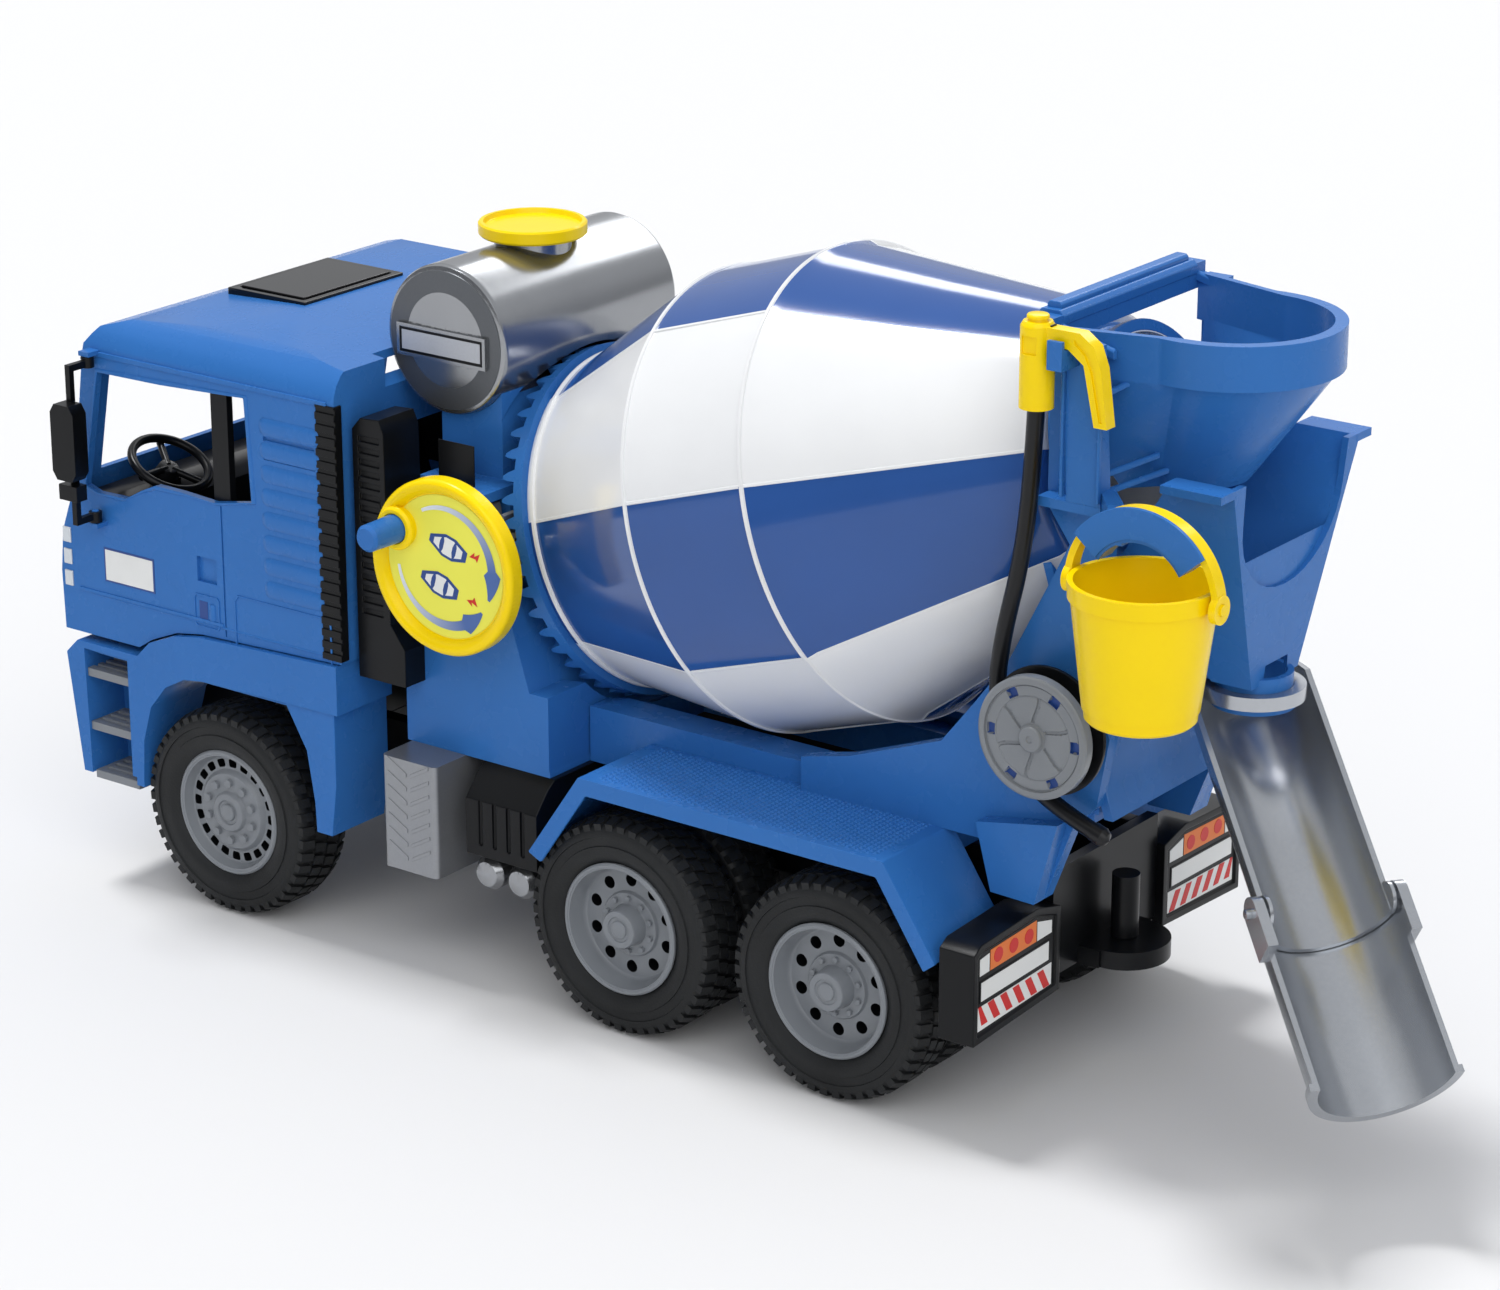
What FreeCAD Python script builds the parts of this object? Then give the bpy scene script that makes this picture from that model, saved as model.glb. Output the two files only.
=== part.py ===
import FreeCAD, Part
import math
import os

os.makedirs("parts", exist_ok=True)
V = FreeCAD.Vector

# ---------------------------------------------------------------------------
# Toy concrete mixer lorry, 1:16 scale, millimetres.  X points forward, Y to
# the left, Z up, the wheels stand on z = 0.  Everything is drawn with x = 0 at
# the rear axle and moved by -MID_X when it is written.
# ---------------------------------------------------------------------------
MID_X = 63.8

# wheels and axles
AXLES = {"rear": 0.0, "middle": 83.0, "front": 256.0}
TYRE_R = 37.5
RIM_R = 22.4
AXLE_R = 3.0
RUN = 0.05                 # radial clearance of every running fit
SEAT = 0.02                # radial clearance of every pressed seat

# chassis
RAIL_IN, RAIL_OUT = 20.0, 26.0
RAIL_LOW, RAIL_TOP = 48.0, 64.0
SILL_TOP = 76.0
DECK_TOP = 95.5
DECK_SIDE = 41.0
DECK_FRONT = 123.5
SIDE = 80.0                # outer face of the mudguards

# cab
CAB_SIDE = 78.0
CAB_BACK = 200.0
WALL = 2.5
CAB_PIN = (322.0, 91.0)
CAB_PIN_R = 2.0

# drum: axis in the plane y = 0, rising to the rear
DRUM_FOOT = V(150.0, 0, 143.37)
DRUM_TILT = math.radians(17.37)
DRUM_DIR = V(-math.cos(DRUM_TILT), 0, math.sin(DRUM_TILT))
DRUM_UP = V(math.sin(DRUM_TILT), 0, math.cos(DRUM_TILT))
FRONT_S, SPLIT_S, SHOULDER_S, MOUTH_S = 18.5, 124.8, 213.0, 228.0
CONE_S, CONE_R, SHOULDER_R = 130.0, 75.3, 44.9
NECK_R = 36.0
JOURNAL_R = 8.0

# crown gear and pinion
GEAR_TEETH, PINION_TEETH = 48, 12
GEAR_PITCH_R = 53.5
PINION_PITCH_R = GEAR_PITCH_R * PINION_TEETH / GEAR_TEETH
TOOTH_TIP_S, TOOTH_PITCH_S, TOOTH_ROOT_S = 9.8, 12.0, 14.8
CRANK = (153.0, 148.2)     # x, z of the crank shaft
CRANK_R = 30.0
KNOB = (CRANK[0] + 18.6, CRANK[1] + 10.4)
GEAR_ROOM_R = 62.0         # radius of the space that the crown gear turns in
SHAFT_R = 3.0

# water tank
TANK = (178.1, 213.3)
TANK_R, TANK_HALF = 25.5, 46.2

# chute
SPOUT = (-105.0, 0.0)
CHUTE_Z = 137.6
CHUTE_HEADING, CHUTE_TILT = math.radians(143.0), math.radians(37.0)
CHUTE_R, CHUTE_WALL = 19.0, 1.8
CHUTE_FOLD, CHUTE_END = 80.0, 136.0
CHUTE_DIR = V(math.cos(CHUTE_TILT) * math.cos(CHUTE_HEADING),
              math.cos(CHUTE_TILT) * math.sin(CHUTE_HEADING), -math.sin(CHUTE_TILT))
CHUTE_SIDE = V(-math.sin(CHUTE_HEADING), math.cos(CHUTE_HEADING), 0)
CHUTE_UP = CHUTE_DIR.cross(CHUTE_SIDE)

# hose reel, bucket, hose
REEL = (-66.9, 134.2)
BUCKET = (-110.0, 75.0)
BAIL_Z, BAIL_IN, BAIL_OUT = 191.5, 23.8, 26.0
HOSE_R = 2.7
HOSE_ROUTE = [
    (-60, 57, 234.2), (-58.5, 56, 212), (-54, 54, 184), (-47.5, 53, 160),
    (-45, 53, 140), (-51, 53, 121), (-65, 53, 109), (-81.5, 53, 103.5),
]


# ---------------------------------------------------------------------------
# small helpers
# ---------------------------------------------------------------------------
def box(x0, x1, y0, y1, z0, z1):
    return Part.makeBox(x1 - x0, y1 - y0, z1 - z0, V(x0, y0, z0))


def cyl_x(y, z, r, x0, x1):
    return Part.makeCylinder(r, x1 - x0, V(x0, y, z), V(1, 0, 0))


def cyl_y(x, z, r, y0, y1):
    return Part.makeCylinder(r, y1 - y0, V(x, y0, z), V(0, 1, 0))


def cyl_z(x, y, r, z0, z1):
    return Part.makeCylinder(r, z1 - z0, V(x, y, z0), V(0, 0, 1))


def face(points):
    return Part.Face(Part.makePolygon(points + [points[0]]))


def plate_y(outline, y0, y1):
    """Outline in x, z, from y0 to y1."""
    return face([V(x, y0, z) for x, z in outline]).extrude(V(0, y1 - y0, 0))


def plate_x(outline, x0, x1):
    """Outline in y, z, from x0 to x1."""
    return face([V(x0, y, z) for y, z in outline]).extrude(V(x1 - x0, 0, 0))


def plate_z(outline, z0, z1):
    """Outline in x, y, from z0 to z1."""
    return face([V(x, y, z0) for x, y in outline]).extrude(V(0, 0, z1 - z0))


def spin(outline, foot, along, out):
    """Solid of revolution: outline is a list of (distance along, radius)."""
    ring = face([foot + along * s + out * r for s, r in outline])
    return ring.revolve(foot, along, 360)


def mirrored(shape):
    return shape.mirror(V(0, 0, 0), V(0, 1, 0))


def both(shape):
    """The left piece and its mirror image, as separate solids."""
    return Part.makeCompound(shape.Solids + mirrored(shape).Solids)


def join(*shapes):
    return shapes[0].fuse(list(shapes[1:])).removeSplitter()


def rounded(shape, radius, pick):
    """Fillet the edges that pick(middle point, direction) accepts."""
    chosen = []
    for edge in shape.Edges:
        if edge.Curve.TypeId != "Part::GeomLine":
            continue
        run = edge.Vertexes[1].Point - edge.Vertexes[0].Point
        if run.Length > 3 * radius and pick(edge.CenterOfMass, run.normalize()):
            chosen.append(edge)
    return shape.makeFillet(radius, chosen)


def save(shape, node):
    placed = shape.copy()
    placed.translate(V(-MID_X, 0, 0))
    placed.exportStep("parts/" + node + ".step")


def cone_r(s):
    """Outer radius of the rear cone at distance s."""
    return CONE_R + (s - CONE_S) / (SHOULDER_S - CONE_S) * (SHOULDER_R - CONE_R)


def drum_spin(outline):
    return spin(outline, DRUM_FOOT, DRUM_DIR, DRUM_UP)


def gear_room(r):
    """Space that the crown gear turns in."""
    return drum_spin([(TOWER_BACK_S, 0), (TOWER_BACK_S, r), (24, r), (24, 0)])


def drum_point(s, r, angle):
    """Angle 0 points to the left side, 90 degrees to the top."""
    return (DRUM_FOOT + DRUM_DIR * s + V(0, 1, 0) * (r * math.cos(angle))
            + DRUM_UP * (r * math.sin(angle)))


# ---------------------------------------------------------------------------
# wheels
# ---------------------------------------------------------------------------
def ring_y(x, outline):
    """Wheel part: outline is a list of (y, radius) about the axle at x."""
    return spin(outline, V(x, 0, TYRE_R), V(0, 1, 0), V(0, 0, 1))


def tyre(x, y0, y1):
    """Hollow-sided tyre with rounded shoulders and three tread grooves."""
    seat = RIM_R + SEAT
    shoulder, bulge = 4.5, 2.0
    outline = [(y0 + bulge, seat), (y0, seat + 5), (y0, TYRE_R - shoulder),
               (y0 + 1.6, TYRE_R - 1.4), (y0 + shoulder, TYRE_R),
               (y1 - shoulder, TYRE_R), (y1 - 1.6, TYRE_R - 1.4), (y1, TYRE_R - shoulder),
               (y1, seat + 5), (y1 - bulge, seat)]
    body = ring_y(x, outline)
    middle = (y0 + y1) / 2
    for offset in (-5.5, 0.0, 5.5):
        groove = [(middle + offset - 0.6, TYRE_R - 1.6), (middle + offset - 0.6, TYRE_R + 1),
                  (middle + offset + 0.6, TYRE_R + 1), (middle + offset + 0.6, TYRE_R - 1.6)]
        body = body.cut(ring_y(x, groove))
    return body


def rim_holes(x, y0, y1, pitch_r, hole_r, count):
    holes = []
    for k in range(count):
        a = 2 * math.pi * k / count
        holes.append(cyl_y(x + pitch_r * math.cos(a), TYRE_R + pitch_r * math.sin(a), hole_r, y0, y1))
    return holes


def front_rim(x):
    """Flat-faced rim with a ring of slots and a raised hub."""
    bore = AXLE_R + SEAT
    outline = [(58, RIM_R - 2.5), (57.5, RIM_R), (77.5, RIM_R), (77.5, RIM_R - 2.2), (74, RIM_R - 3.4),
               (73.5, 15.5), (75.8, 13.5), (75.8, 7.5), (77.5, 7), (77.5, bore), (60, bore), (60, 7),
               (70.5, 8), (70.5, RIM_R - 3.4)]
    return ring_y(x, outline).cut(rim_holes(x, 69, 77, 17.2, 1.3, 20))


def twin_rim(x):
    """Deep rim that carries both tyres of a twin wheel, with a long hub."""
    bore = AXLE_R + SEAT
    outline = [(34, RIM_R - 2.5), (34, RIM_R), (77.5, RIM_R), (77.5, RIM_R - 2), (67.5, RIM_R - 4),
               (66.5, 9), (77, 8), (77.5, 7), (77.5, bore), (36, bore), (36, 7), (62.5, 8),
               (63.5, RIM_R - 4)]
    return ring_y(x, outline).cut(rim_holes(x, 60, 70, 14.2, 2.3, 10))


for axle, axle_x in AXLES.items():
    save(cyl_y(axle_x, TYRE_R, AXLE_R, -77.0, 77.0), axle + "_axle")
    if axle == "front":
        save(both(front_rim(axle_x)), axle + "_rims")
        save(both(tyre(axle_x, 56, 79)), axle + "_tyres")
    else:
        save(both(twin_rim(axle_x)), axle + "_rims")
        pair = Part.makeCompound([tyre(axle_x, 34, 54), tyre(axle_x, 57, 78)])
        save(both(pair), axle + "_tyres")


# ---------------------------------------------------------------------------
# chassis
# ---------------------------------------------------------------------------
EAR = [(304, 60), (320, 60), (320, 85), (326.2, 88), (326.2, 95), (317, 95), (304, 70)]


def chassis_frame():
    """Two rails with sills under the deck, cross members, axle brackets and cab ears."""
    rail = box(-50, 319, RAIL_IN, RAIL_OUT, RAIL_LOW, RAIL_TOP)
    sill = box(-50, 184, RAIL_IN, RAIL_OUT, RAIL_TOP - 1, SILL_TOP)
    left = [rail, sill, plate_y(EAR, RAIL_IN, RAIL_OUT)]
    for x in AXLES.values():
        bracket = box(x - 7, x + 7, RAIL_IN, RAIL_OUT + 2, 37.5, RAIL_LOW + 1)
        left += [bracket, cyl_y(x, TYRE_R, 7, RAIL_IN, RAIL_OUT + 2)]
    shape = join(*(left + [mirrored(piece) for piece in left]))
    members = [box(x, x + 6, -RAIL_IN - 1, RAIL_IN + 1, RAIL_LOW, RAIL_LOW + 10)
               for x in (-42, 38, 118, 180, 240, 284)]
    shape = join(shape, *members)
    for x in AXLES.values():
        shape = shape.cut(cyl_y(x, TYRE_R, AXLE_R + RUN, -30, 30))
    return shape.cut(cyl_y(CAB_PIN[0], CAB_PIN[1], CAB_PIN_R + RUN, -30, 30))


save(chassis_frame(), "chassis_frame")
save(cyl_y(CAB_PIN[0], CAB_PIN[1], CAB_PIN_R, -33, 33), "cab_hinge_pin")


def engine_block():
    block = join(box(240, 295, -17, 17, 58, 88), box(246, 290, -11, 11, 87, 94))
    for x in range(246, 292, 8):
        block = block.cut([box(x, x + 3, 15, 18, 64, 84), box(x, x + 3, -18, -15, 64, 84)])
    return block


save(engine_block(), "engine_block")


# front mudguards, steps and bumper, one blue moulding
ARCH = [(204, 86), (262, 85.2), (272, 83.8), (281, 79), (288.5, 70), (292.5, 57), (293.5, 42)]
WING_TOP = [(201, 103.5), (264, 101), (276, 99), (288, 94), (294, 88)]
STEP_BACK, STEP_FRONT = 297.0, 324.0


def thin_strip(line, thickness):
    """Outline of a strip that follows line and is thicker to its left side."""
    offset = []
    for k, (x, z) in enumerate(line):
        x0, z0 = line[max(k - 1, 0)]
        x1, z1 = line[min(k + 1, len(line) - 1)]
        length = math.hypot(x1 - x0, z1 - z0)
        offset.append((x - (z1 - z0) / length * thickness, z + (x1 - x0) / length * thickness))
    return line + offset[::-1]


def front_wing():
    skirt = plate_y(WING_TOP + [(299, 88), (299, 42)] + ARCH[::-1] + [(201, 86)], SIDE - WALL, SIDE)
    liner = plate_y(thin_strip(ARCH, WALL), 52, SIDE)
    top = plate_y([(201, 103.5), (264, 101), (264, 98.5), (201, 101)], 66, SIDE)
    rear = box(201, 203.5, 52, SIDE, 86, 102)
    leg = box(293.5, STEP_BACK, 60, SIDE, 39, 88)
    nose = plate_y([(320, 88), (323, 88), (328.6, 82.6), (322.8, 38.9), (318.8, 38.9)], 60, SIDE)
    roof = box(293.5, 322, 60, SIDE, 85.5, 88)
    wall = plate_y([(294, 88), (322, 88), (326, 82.6), (320, 38.9), (294, 38.9)], 60, 62)
    return join(skirt, liner, top, rear, leg, nose, roof, wall)


def front_fenders():
    """Both wings and step frames with the bumper bar between them."""
    left = front_wing()
    bumper = plate_y([(324.6, 83), (328.4, 82.4), (323, 39), (319.2, 39)], -61, 61)
    stay = box(306, 325, -RAIL_IN, RAIL_IN, 50, 60)
    return join(left, mirrored(left), bumper, stay)


def step_treads():
    """Three grooved steps a side."""
    steps = []
    for top, front in ((78, 323.4), (58, 320.4), (39.9, 318.2)):
        step = box(STEP_BACK, front, 62, 79, top - 3, top)
        for y in (66, 70, 74):
            step = step.cut(box(STEP_BACK + 2, front - 2, y, y + 1.6, top - 0.8, top + 1))
        steps.append(step)
    return both(Part.makeCompound(steps))


def front_mudguards():
    outline = [(226, 86), (216.5, 70), (213.5, 52), (213, 41), (206, 41), (203.5, 60), (203.5, 86)]
    guard = plate_y(outline, 52, 79)
    return both(guard.cut(plate_y([(219, 84), (211, 70), (208.5, 50), (206, 60), (206, 84)], 53, 76.5)))


fenders = front_fenders()
treads = step_treads().cut(fenders)
guards = front_mudguards().cut(fenders)
save(fenders, "front_fenders")
save(Part.makeCompound(treads.Solids), "step_treads")
save(Part.makeCompound(guards.Solids), "front_mudguards")


# ---------------------------------------------------------------------------
# tower with tank saddle
# ---------------------------------------------------------------------------
TOWER_BACK_S = 5.5
TOWER_TOP, TOWER_HALF, TOWER_FRONT = 168.0, 62.0, 184.0


def drum_plane_x(s, z):
    """x at height z on the plane at distance s along the drum axis."""
    return DRUM_FOOT.x + ((z - DRUM_FOOT.z) * math.sin(DRUM_TILT) - s) / math.cos(DRUM_TILT)


def tower_profile(inset, low, high, front):
    back = TOWER_BACK_S - inset
    return [(drum_plane_x(back, low), low), (front, low), (front, high), (drum_plane_x(back, high), high)]


def tank_tower():
    """Hollow upright that carries the drum journal, the crank shaft and the tank."""
    core = plate_y(tower_profile(0, SILL_TOP, TOWER_TOP, TOWER_FRONT), -54, 54)
    sides = plate_y(tower_profile(0, SILL_TOP, TOWER_TOP, 177), -TOWER_HALF, TOWER_HALF)
    base = join(box(124, 177, -TOWER_HALF, TOWER_HALF, SILL_TOP, 104),
                box(176, 185.5, -TOWER_HALF, TOWER_HALF, SILL_TOP, 99))
    saddle = box(158, 184, -42, 42, TOWER_TOP - 1, 204)
    shape = join(core, sides, base, saddle)
    cavity = plate_y(tower_profile(3, SILL_TOP - 1, 160, 180), -38, 38)
    boss = Part.makeCylinder(13, 20, DRUM_FOOT + DRUM_DIR * -9, DRUM_DIR)
    pockets = [plate_y(tower_profile(3, SILL_TOP - 1, 126, 173), y0, y1)
               for y0, y1 in ((41, 59), (-59, -41))]
    shape = shape.cut([cavity.cut(boss), box(162, 180, -38, 38, 171, 184)] + pockets)
    shape = shape.cut([gear_room(GEAR_ROOM_R), box(100, DECK_FRONT + 0.1, -70, 70, 70, 104)])
    shape = shape.cut(Part.makeCylinder(JOURNAL_R + RUN, 60, DRUM_FOOT + DRUM_DIR * -30, DRUM_DIR))
    shape = shape.cut([cyl_y(TANK[0], TANK[1], TANK_R + RUN, -60, 60),
                       cyl_y(CRANK[0], CRANK[1], 17, 48.5, 57.5),
                       cyl_y(CRANK[0], CRANK[1], SHAFT_R + RUN, 39, 63)])
    return shape


save(tank_tower(), "tank_tower")


def air_intake():
    """Tall ribbed duct behind the cab."""
    outline = [(197.5, 99), (197.5, 186), (194, 190), (186, 190.5), (184, 186), (183, 120),
               (177, 112), (177, 99)]
    duct = plate_y(outline, 54, 72)
    for k in range(16):
        z = 122 + 4 * k
        duct = duct.cut(box(186, 195, 71.2, 73, z, z + 2))
    return both(duct)


save(air_intake(), "air_intake")


def side_box():
    """Silver tool box with a chequered lid."""
    shell = box(160, 183.5, 48, 78, 36, SILL_TOP)
    shell = rounded(shell, 2.0, lambda p, d: abs(d.z) > 0.9 and p.y > 70)
    return both(shell.cut(box(162.5, 181, 50, 75.5, 38.5, 73.5)))


def battery_box():
    outline = [(36, 46), (72, 46), (72, 66), (66, 73), (62, SILL_TOP), (36, SILL_TOP)]
    shell = plate_x(outline, 121.6, 152)
    ribs = [box(x, x + 1.6, 71, 73, 50, 66) for x in (127, 133, 139, 145)]
    return both(shell.cut(ribs + [box(124, 149.6, 38.5, 69.5, 48.5, 66)]))


def air_tanks():
    tanks = []
    for x in (132.0, 146.0):
        tank = rounded_can(x, 38.6, 6.0, 38, 70)
        tanks.append(join(tank, box(x - 2, x + 2, 44, 48, 42, 46), box(x - 2, x + 2, 60, 64, 42, 46)))
    return both(Part.makeCompound(tanks))


def rounded_can(x, z, r, y0, y1):
    outline = [(y0, 0), (y0, r * 0.7), (y0 + 2, r), (y1 - 3, r), (y1 - 0.8, r * 0.72), (y1, 0)]
    return spin(outline, V(x, 0, z), V(0, 1, 0), V(0, 0, 1))


save(side_box(), "side_boxes")
save(battery_box(), "battery_boxes")
save(air_tanks(), "air_tanks")


# ---------------------------------------------------------------------------
# deck, rear mudguards, lamp boards, tow coupling
# ---------------------------------------------------------------------------
def subframe():
    """Hollow deck with the long opening under the drum."""
    deck = box(-20, DECK_FRONT, -DECK_SIDE, DECK_SIDE, SILL_TOP, DECK_TOP)
    deck = deck.cut(box(-17, 121, -DECK_SIDE + WALL, DECK_SIDE - WALL, SILL_TOP - 1, DECK_TOP - WALL))
    rib = box(-20, DECK_FRONT, -28, -19, SILL_TOP, 90)
    deck = join(deck, rib, mirrored(rib))
    return deck.cut([box(4, 119, -27, 27, 90.6, 100), gear_room(GEAR_ROOM_R)])


def rear_fender():
    """Flat-topped mudguard over both rear wheels of one side."""
    top = [(118.8, 57), (97.4, 88), (-22.4, 88), (-42.5, 58.5)]
    under = [(-39.4, 58.5), (-20.9, 85.5), (96.0, 85.5), (115.8, 57)]
    plate = plate_y(top + under, DECK_SIDE, SIDE)
    skirt = [(118.8, 57), (97.4, 88), (-22.4, 88), (-42.5, 58.5), (-38, 55), (-19.8, 82), (94.6, 82),
             (113.6, 54.5)]
    return join(plate, plate_y(skirt, SIDE - 1.6, SIDE))


save(subframe(), "subframe")
save(both(rear_fender()), "rear_fenders")


def lamp_boards():
    """Boxes that close the rear mudguards, with a framed face for the lamps."""
    outline = [(31, 37), (SIDE, 34.5), (SIDE, 65), (76, 67.5), (44, 69), (31, 65.5)]
    inner = [(33.5, 39.4), (77.5, 37), (77.5, 63.5), (74.5, 65), (44.5, 66.5), (33.5, 63.2)]
    case = plate_x(outline, -57, -44)
    case = case.cut(plate_x(inner, -53.5, -43)).cut(plate_x(inner, -58, -56.2))
    return both(case)


def tow_coupling():
    """Rear cross wall with a rounded shelf for the tow pin."""
    wall = box(-54, -50, -31, 31, 42, SILL_TOP)
    shelf = join(box(-62, -50, -16, 16, 40, 46), cyl_z(-61.5, 0, 15, 40, 46))
    boss = cyl_z(-61.5, 0, 7, 38, 46)
    body = join(wall, shelf, boss, box(-54, -50, -31, 31, 40, 46))
    return body.cut(cyl_z(-61.5, 0, AXLE_R + RUN, 30, 50))


def tow_pin():
    return join(cyl_z(-61.5, 0, 4.5, 46.3, 67.4), cyl_z(-61.5, 0, AXLE_R, 37, 47))


save(lamp_boards(), "lamp_boards")
save(tow_coupling(), "tow_coupling")
save(tow_pin(), "tow_pin")


# ---------------------------------------------------------------------------
# rear stand, gun post, hopper, trough
# ---------------------------------------------------------------------------
PANEL = [(33, 88), (33, 99.5), (14, 104), (-20.7, 117), (-33, 132.5), (-45, 148.5), (-66, 190),
         (-58, 201), (-58, 205.5), (-80, 205.5), (-78, 142), (-82, 131), (-78, 108), (-70, 100),
         (-60, 73.5), (-44, 73.5), (-38, 88)]
HANG = [(-38, 96), (-68, 101.6), (-60, 73.5), (-44, 74)]
PLATE_S = (206.0, 209.0)
ROLLER_ANGLES = (math.radians(-62.0), math.radians(-118.0))
ROLLER_ORBIT, STUB_R = 60.0, 2.0
PANEL_IN, PANEL_OUT = 41.0, 46.0


def roller_centre(s, angle):
    return drum_point(s, ROLLER_ORBIT, angle)


def rear_stand():
    """Two side panels, a cross wall and the inclined plate with the roller stubs."""
    panel = plate_y(PANEL, PANEL_IN, PANEL_OUT)
    hang = plate_y(HANG, PANEL_OUT - 1, 52)
    platform = box(-80, -58, PANEL_OUT - 1, 52, 202.5, 205.5)
    axle = cyl_y(REEL[0], REEL[1], AXLE_R, PANEL_OUT - 1, 67.2)
    collar = cyl_y(REEL[0], REEL[1], 5.5, PANEL_OUT - 1, 56.2)
    left = join(panel, hang, platform, axle, collar)
    wall = join(box(-76.5, -74, -PANEL_IN - 1, PANEL_IN + 1, 104, 142), box(-76.5, -74, -12, 12, 141, 148))
    sill = box(-75, -50, -PANEL_IN - 1, PANEL_IN + 1, 101, 104)
    plate = Part.makeCylinder(64, PLATE_S[1] - PLATE_S[0], DRUM_FOOT + DRUM_DIR * PLATE_S[0], DRUM_DIR)
    hole = Part.makeCylinder(cone_r(PLATE_S[0]) + 1.5, 10, DRUM_FOOT + DRUM_DIR * (PLATE_S[0] - 3), DRUM_DIR)
    plate = plate.cut(hole).common(box(-90, -30, -PANEL_IN - 1, PANEL_IN + 1, 130, 183))
    plate = plate.fuse([plate_web()]).cut(hole)
    stubs = [Part.makeCylinder(STUB_R, PLATE_S[0] - 192.6, roller_centre(192.8, a), DRUM_DIR)
             for a in ROLLER_ANGLES]
    return join(left, mirrored(left), wall, sill, plate, *stubs)


def plate_web():
    """Inclined web that ties the roller plate to the side panels and the sill."""
    low, high = 103.0, 150.0
    outline = [(drum_plane_x(PLATE_S[0], low), low), (drum_plane_x(PLATE_S[1], low), low),
               (drum_plane_x(PLATE_S[1], high), high), (drum_plane_x(PLATE_S[0], high), high)]
    return plate_y(outline, -PANEL_IN - 1, PANEL_IN + 1)


save(rear_stand(), "rear_stand")


def roller(angle):
    """Tapered roller that lies along the rear cone of the drum."""
    low, high = 196.0, 204.0
    outline = [(low, STUB_R + RUN), (low, ROLLER_ORBIT - cone_r(low) - 0.15),
               (high, ROLLER_ORBIT - cone_r(high) - 0.15), (high, STUB_R + RUN)]
    return spin(outline, roller_centre(0, angle), DRUM_DIR, DRUM_UP)


save(roller(ROLLER_ANGLES[0]), "roller_left")
save(roller(ROLLER_ANGLES[1]), "roller_right")


def gun_post():
    """Tapered post with the peg for the spray gun, and the bucket saddle on its arm."""
    post = plate_y([(-68, 205.5), (-80, 205.5), (-77, 254), (-66, 254)], 46, 52)
    peg = join(box(-71.6, -66.4, 51, 62, 248, 254.2), box(-71.6, -66.4, 60.6, 62, 248, 257))
    arm = plate_z([(-74, 44), (-79.9, 44), (-104, 71), (-104, 79), (-96, 79), (-92, 66)], 205.5, 210)
    ring = cyl_y(BUCKET[0], BAIL_Z, BAIL_IN - 0.3, 71, 79).cut(cyl_y(BUCKET[0], BAIL_Z, 16, 70, 80))
    lip = cyl_y(BUCKET[0], BAIL_Z, BAIL_OUT + 0.5, 78.2, 79.6).cut(cyl_y(BUCKET[0], BAIL_Z, 17, 78, 80))
    wedge = plate_y([(BUCKET[0], BAIL_Z - 3), (BUCKET[0] + 38, BAIL_Z + 29), (BUCKET[0] - 38, BAIL_Z + 29)],
                    70, 81)
    sweep = cyl_y(BUCKET[0], BAIL_Z, 32, 69.5, 78.2).cut(cyl_y(BUCKET[0], BAIL_Z, BAIL_IN - 0.3, 69, 79))
    return join(post, peg, arm.cut(sweep), ring.fuse(lip).common(wedge))


save(gun_post(), "gun_post")


def d_wire(z, front, wing, half, turn, turn_half, back):
    """Closed outline: straight front, two straight wings and an arc at the back."""
    a, b = V(front, half, z), V(front, -half, z)
    c, d = V(turn, -turn_half, z), V(turn, turn_half, z)
    edges = [Part.LineSegment(a, b).toShape(), Part.LineSegment(b, c).toShape(),
             Part.Arc(c, V(back, 0, z), d).toShape(), Part.LineSegment(d, a).toShape()]
    return Part.Wire(edges)


def funnel(inset, top):
    """Funnel body between its three sections, shrunk by inset on every side."""
    rim = [-50, 0, 43.5 - inset, -92.5, 33 - inset, -125.5 + inset]
    low = [-58, 0, 42.0 - inset, -80, 18.5 - inset, -98.5 + inset]
    neck = Part.makeLoft([d_wire(241, *rim), d_wire(top, *rim)], True, True)
    cone = Part.makeLoft([d_wire(204 - inset * 0.5, *low), d_wire(241, *rim)], True, True)
    return neck.fuse(cone)


def hopper():
    """Filling funnel behind the drum mouth with a stiff bar across its front."""
    shell = funnel(0, 255)
    ring = cyl_z(-92.5, 0, 34.6, 241, 255).common(box(-140, -86, -50, 50, 240, 256))
    shell = join(shell, ring).cut(funnel(WALL, 258))
    shell = shell.cut([box(-57, -40, -60, 60, 200, 252), box(-60, -40, -50, 50, 200, 240)])
    mouth = Part.makeCylinder(NECK_R + 3.2, 60, DRUM_FOOT + DRUM_DIR * (MOUTH_S - 58), DRUM_DIR)
    shell = shell.cut(mouth)
    bar = box(-57, -50, -43.5, 43.5, 250, 258)
    legs = [box(-66, -57.5, 41.5, 45.5, 205.5, 254), box(-66, -57.5, -45.5, -41.5, 205.5, 254)]
    return join(shell, bar, *legs)


save(hopper(), "hopper")


def trough_solid(side, inset):
    front = [(-14 + inset, 144), (14 - inset, 144), (38 - inset, 214 + inset), (-38 + inset, 214 + inset)]
    return plate_y(side, -45, 45).common(plate_x(front, -130, -60))


NOTCH_HALF, NOTCH_Z, NOTCH_DEPTH = 30.0, 201.0, 26.0


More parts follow.
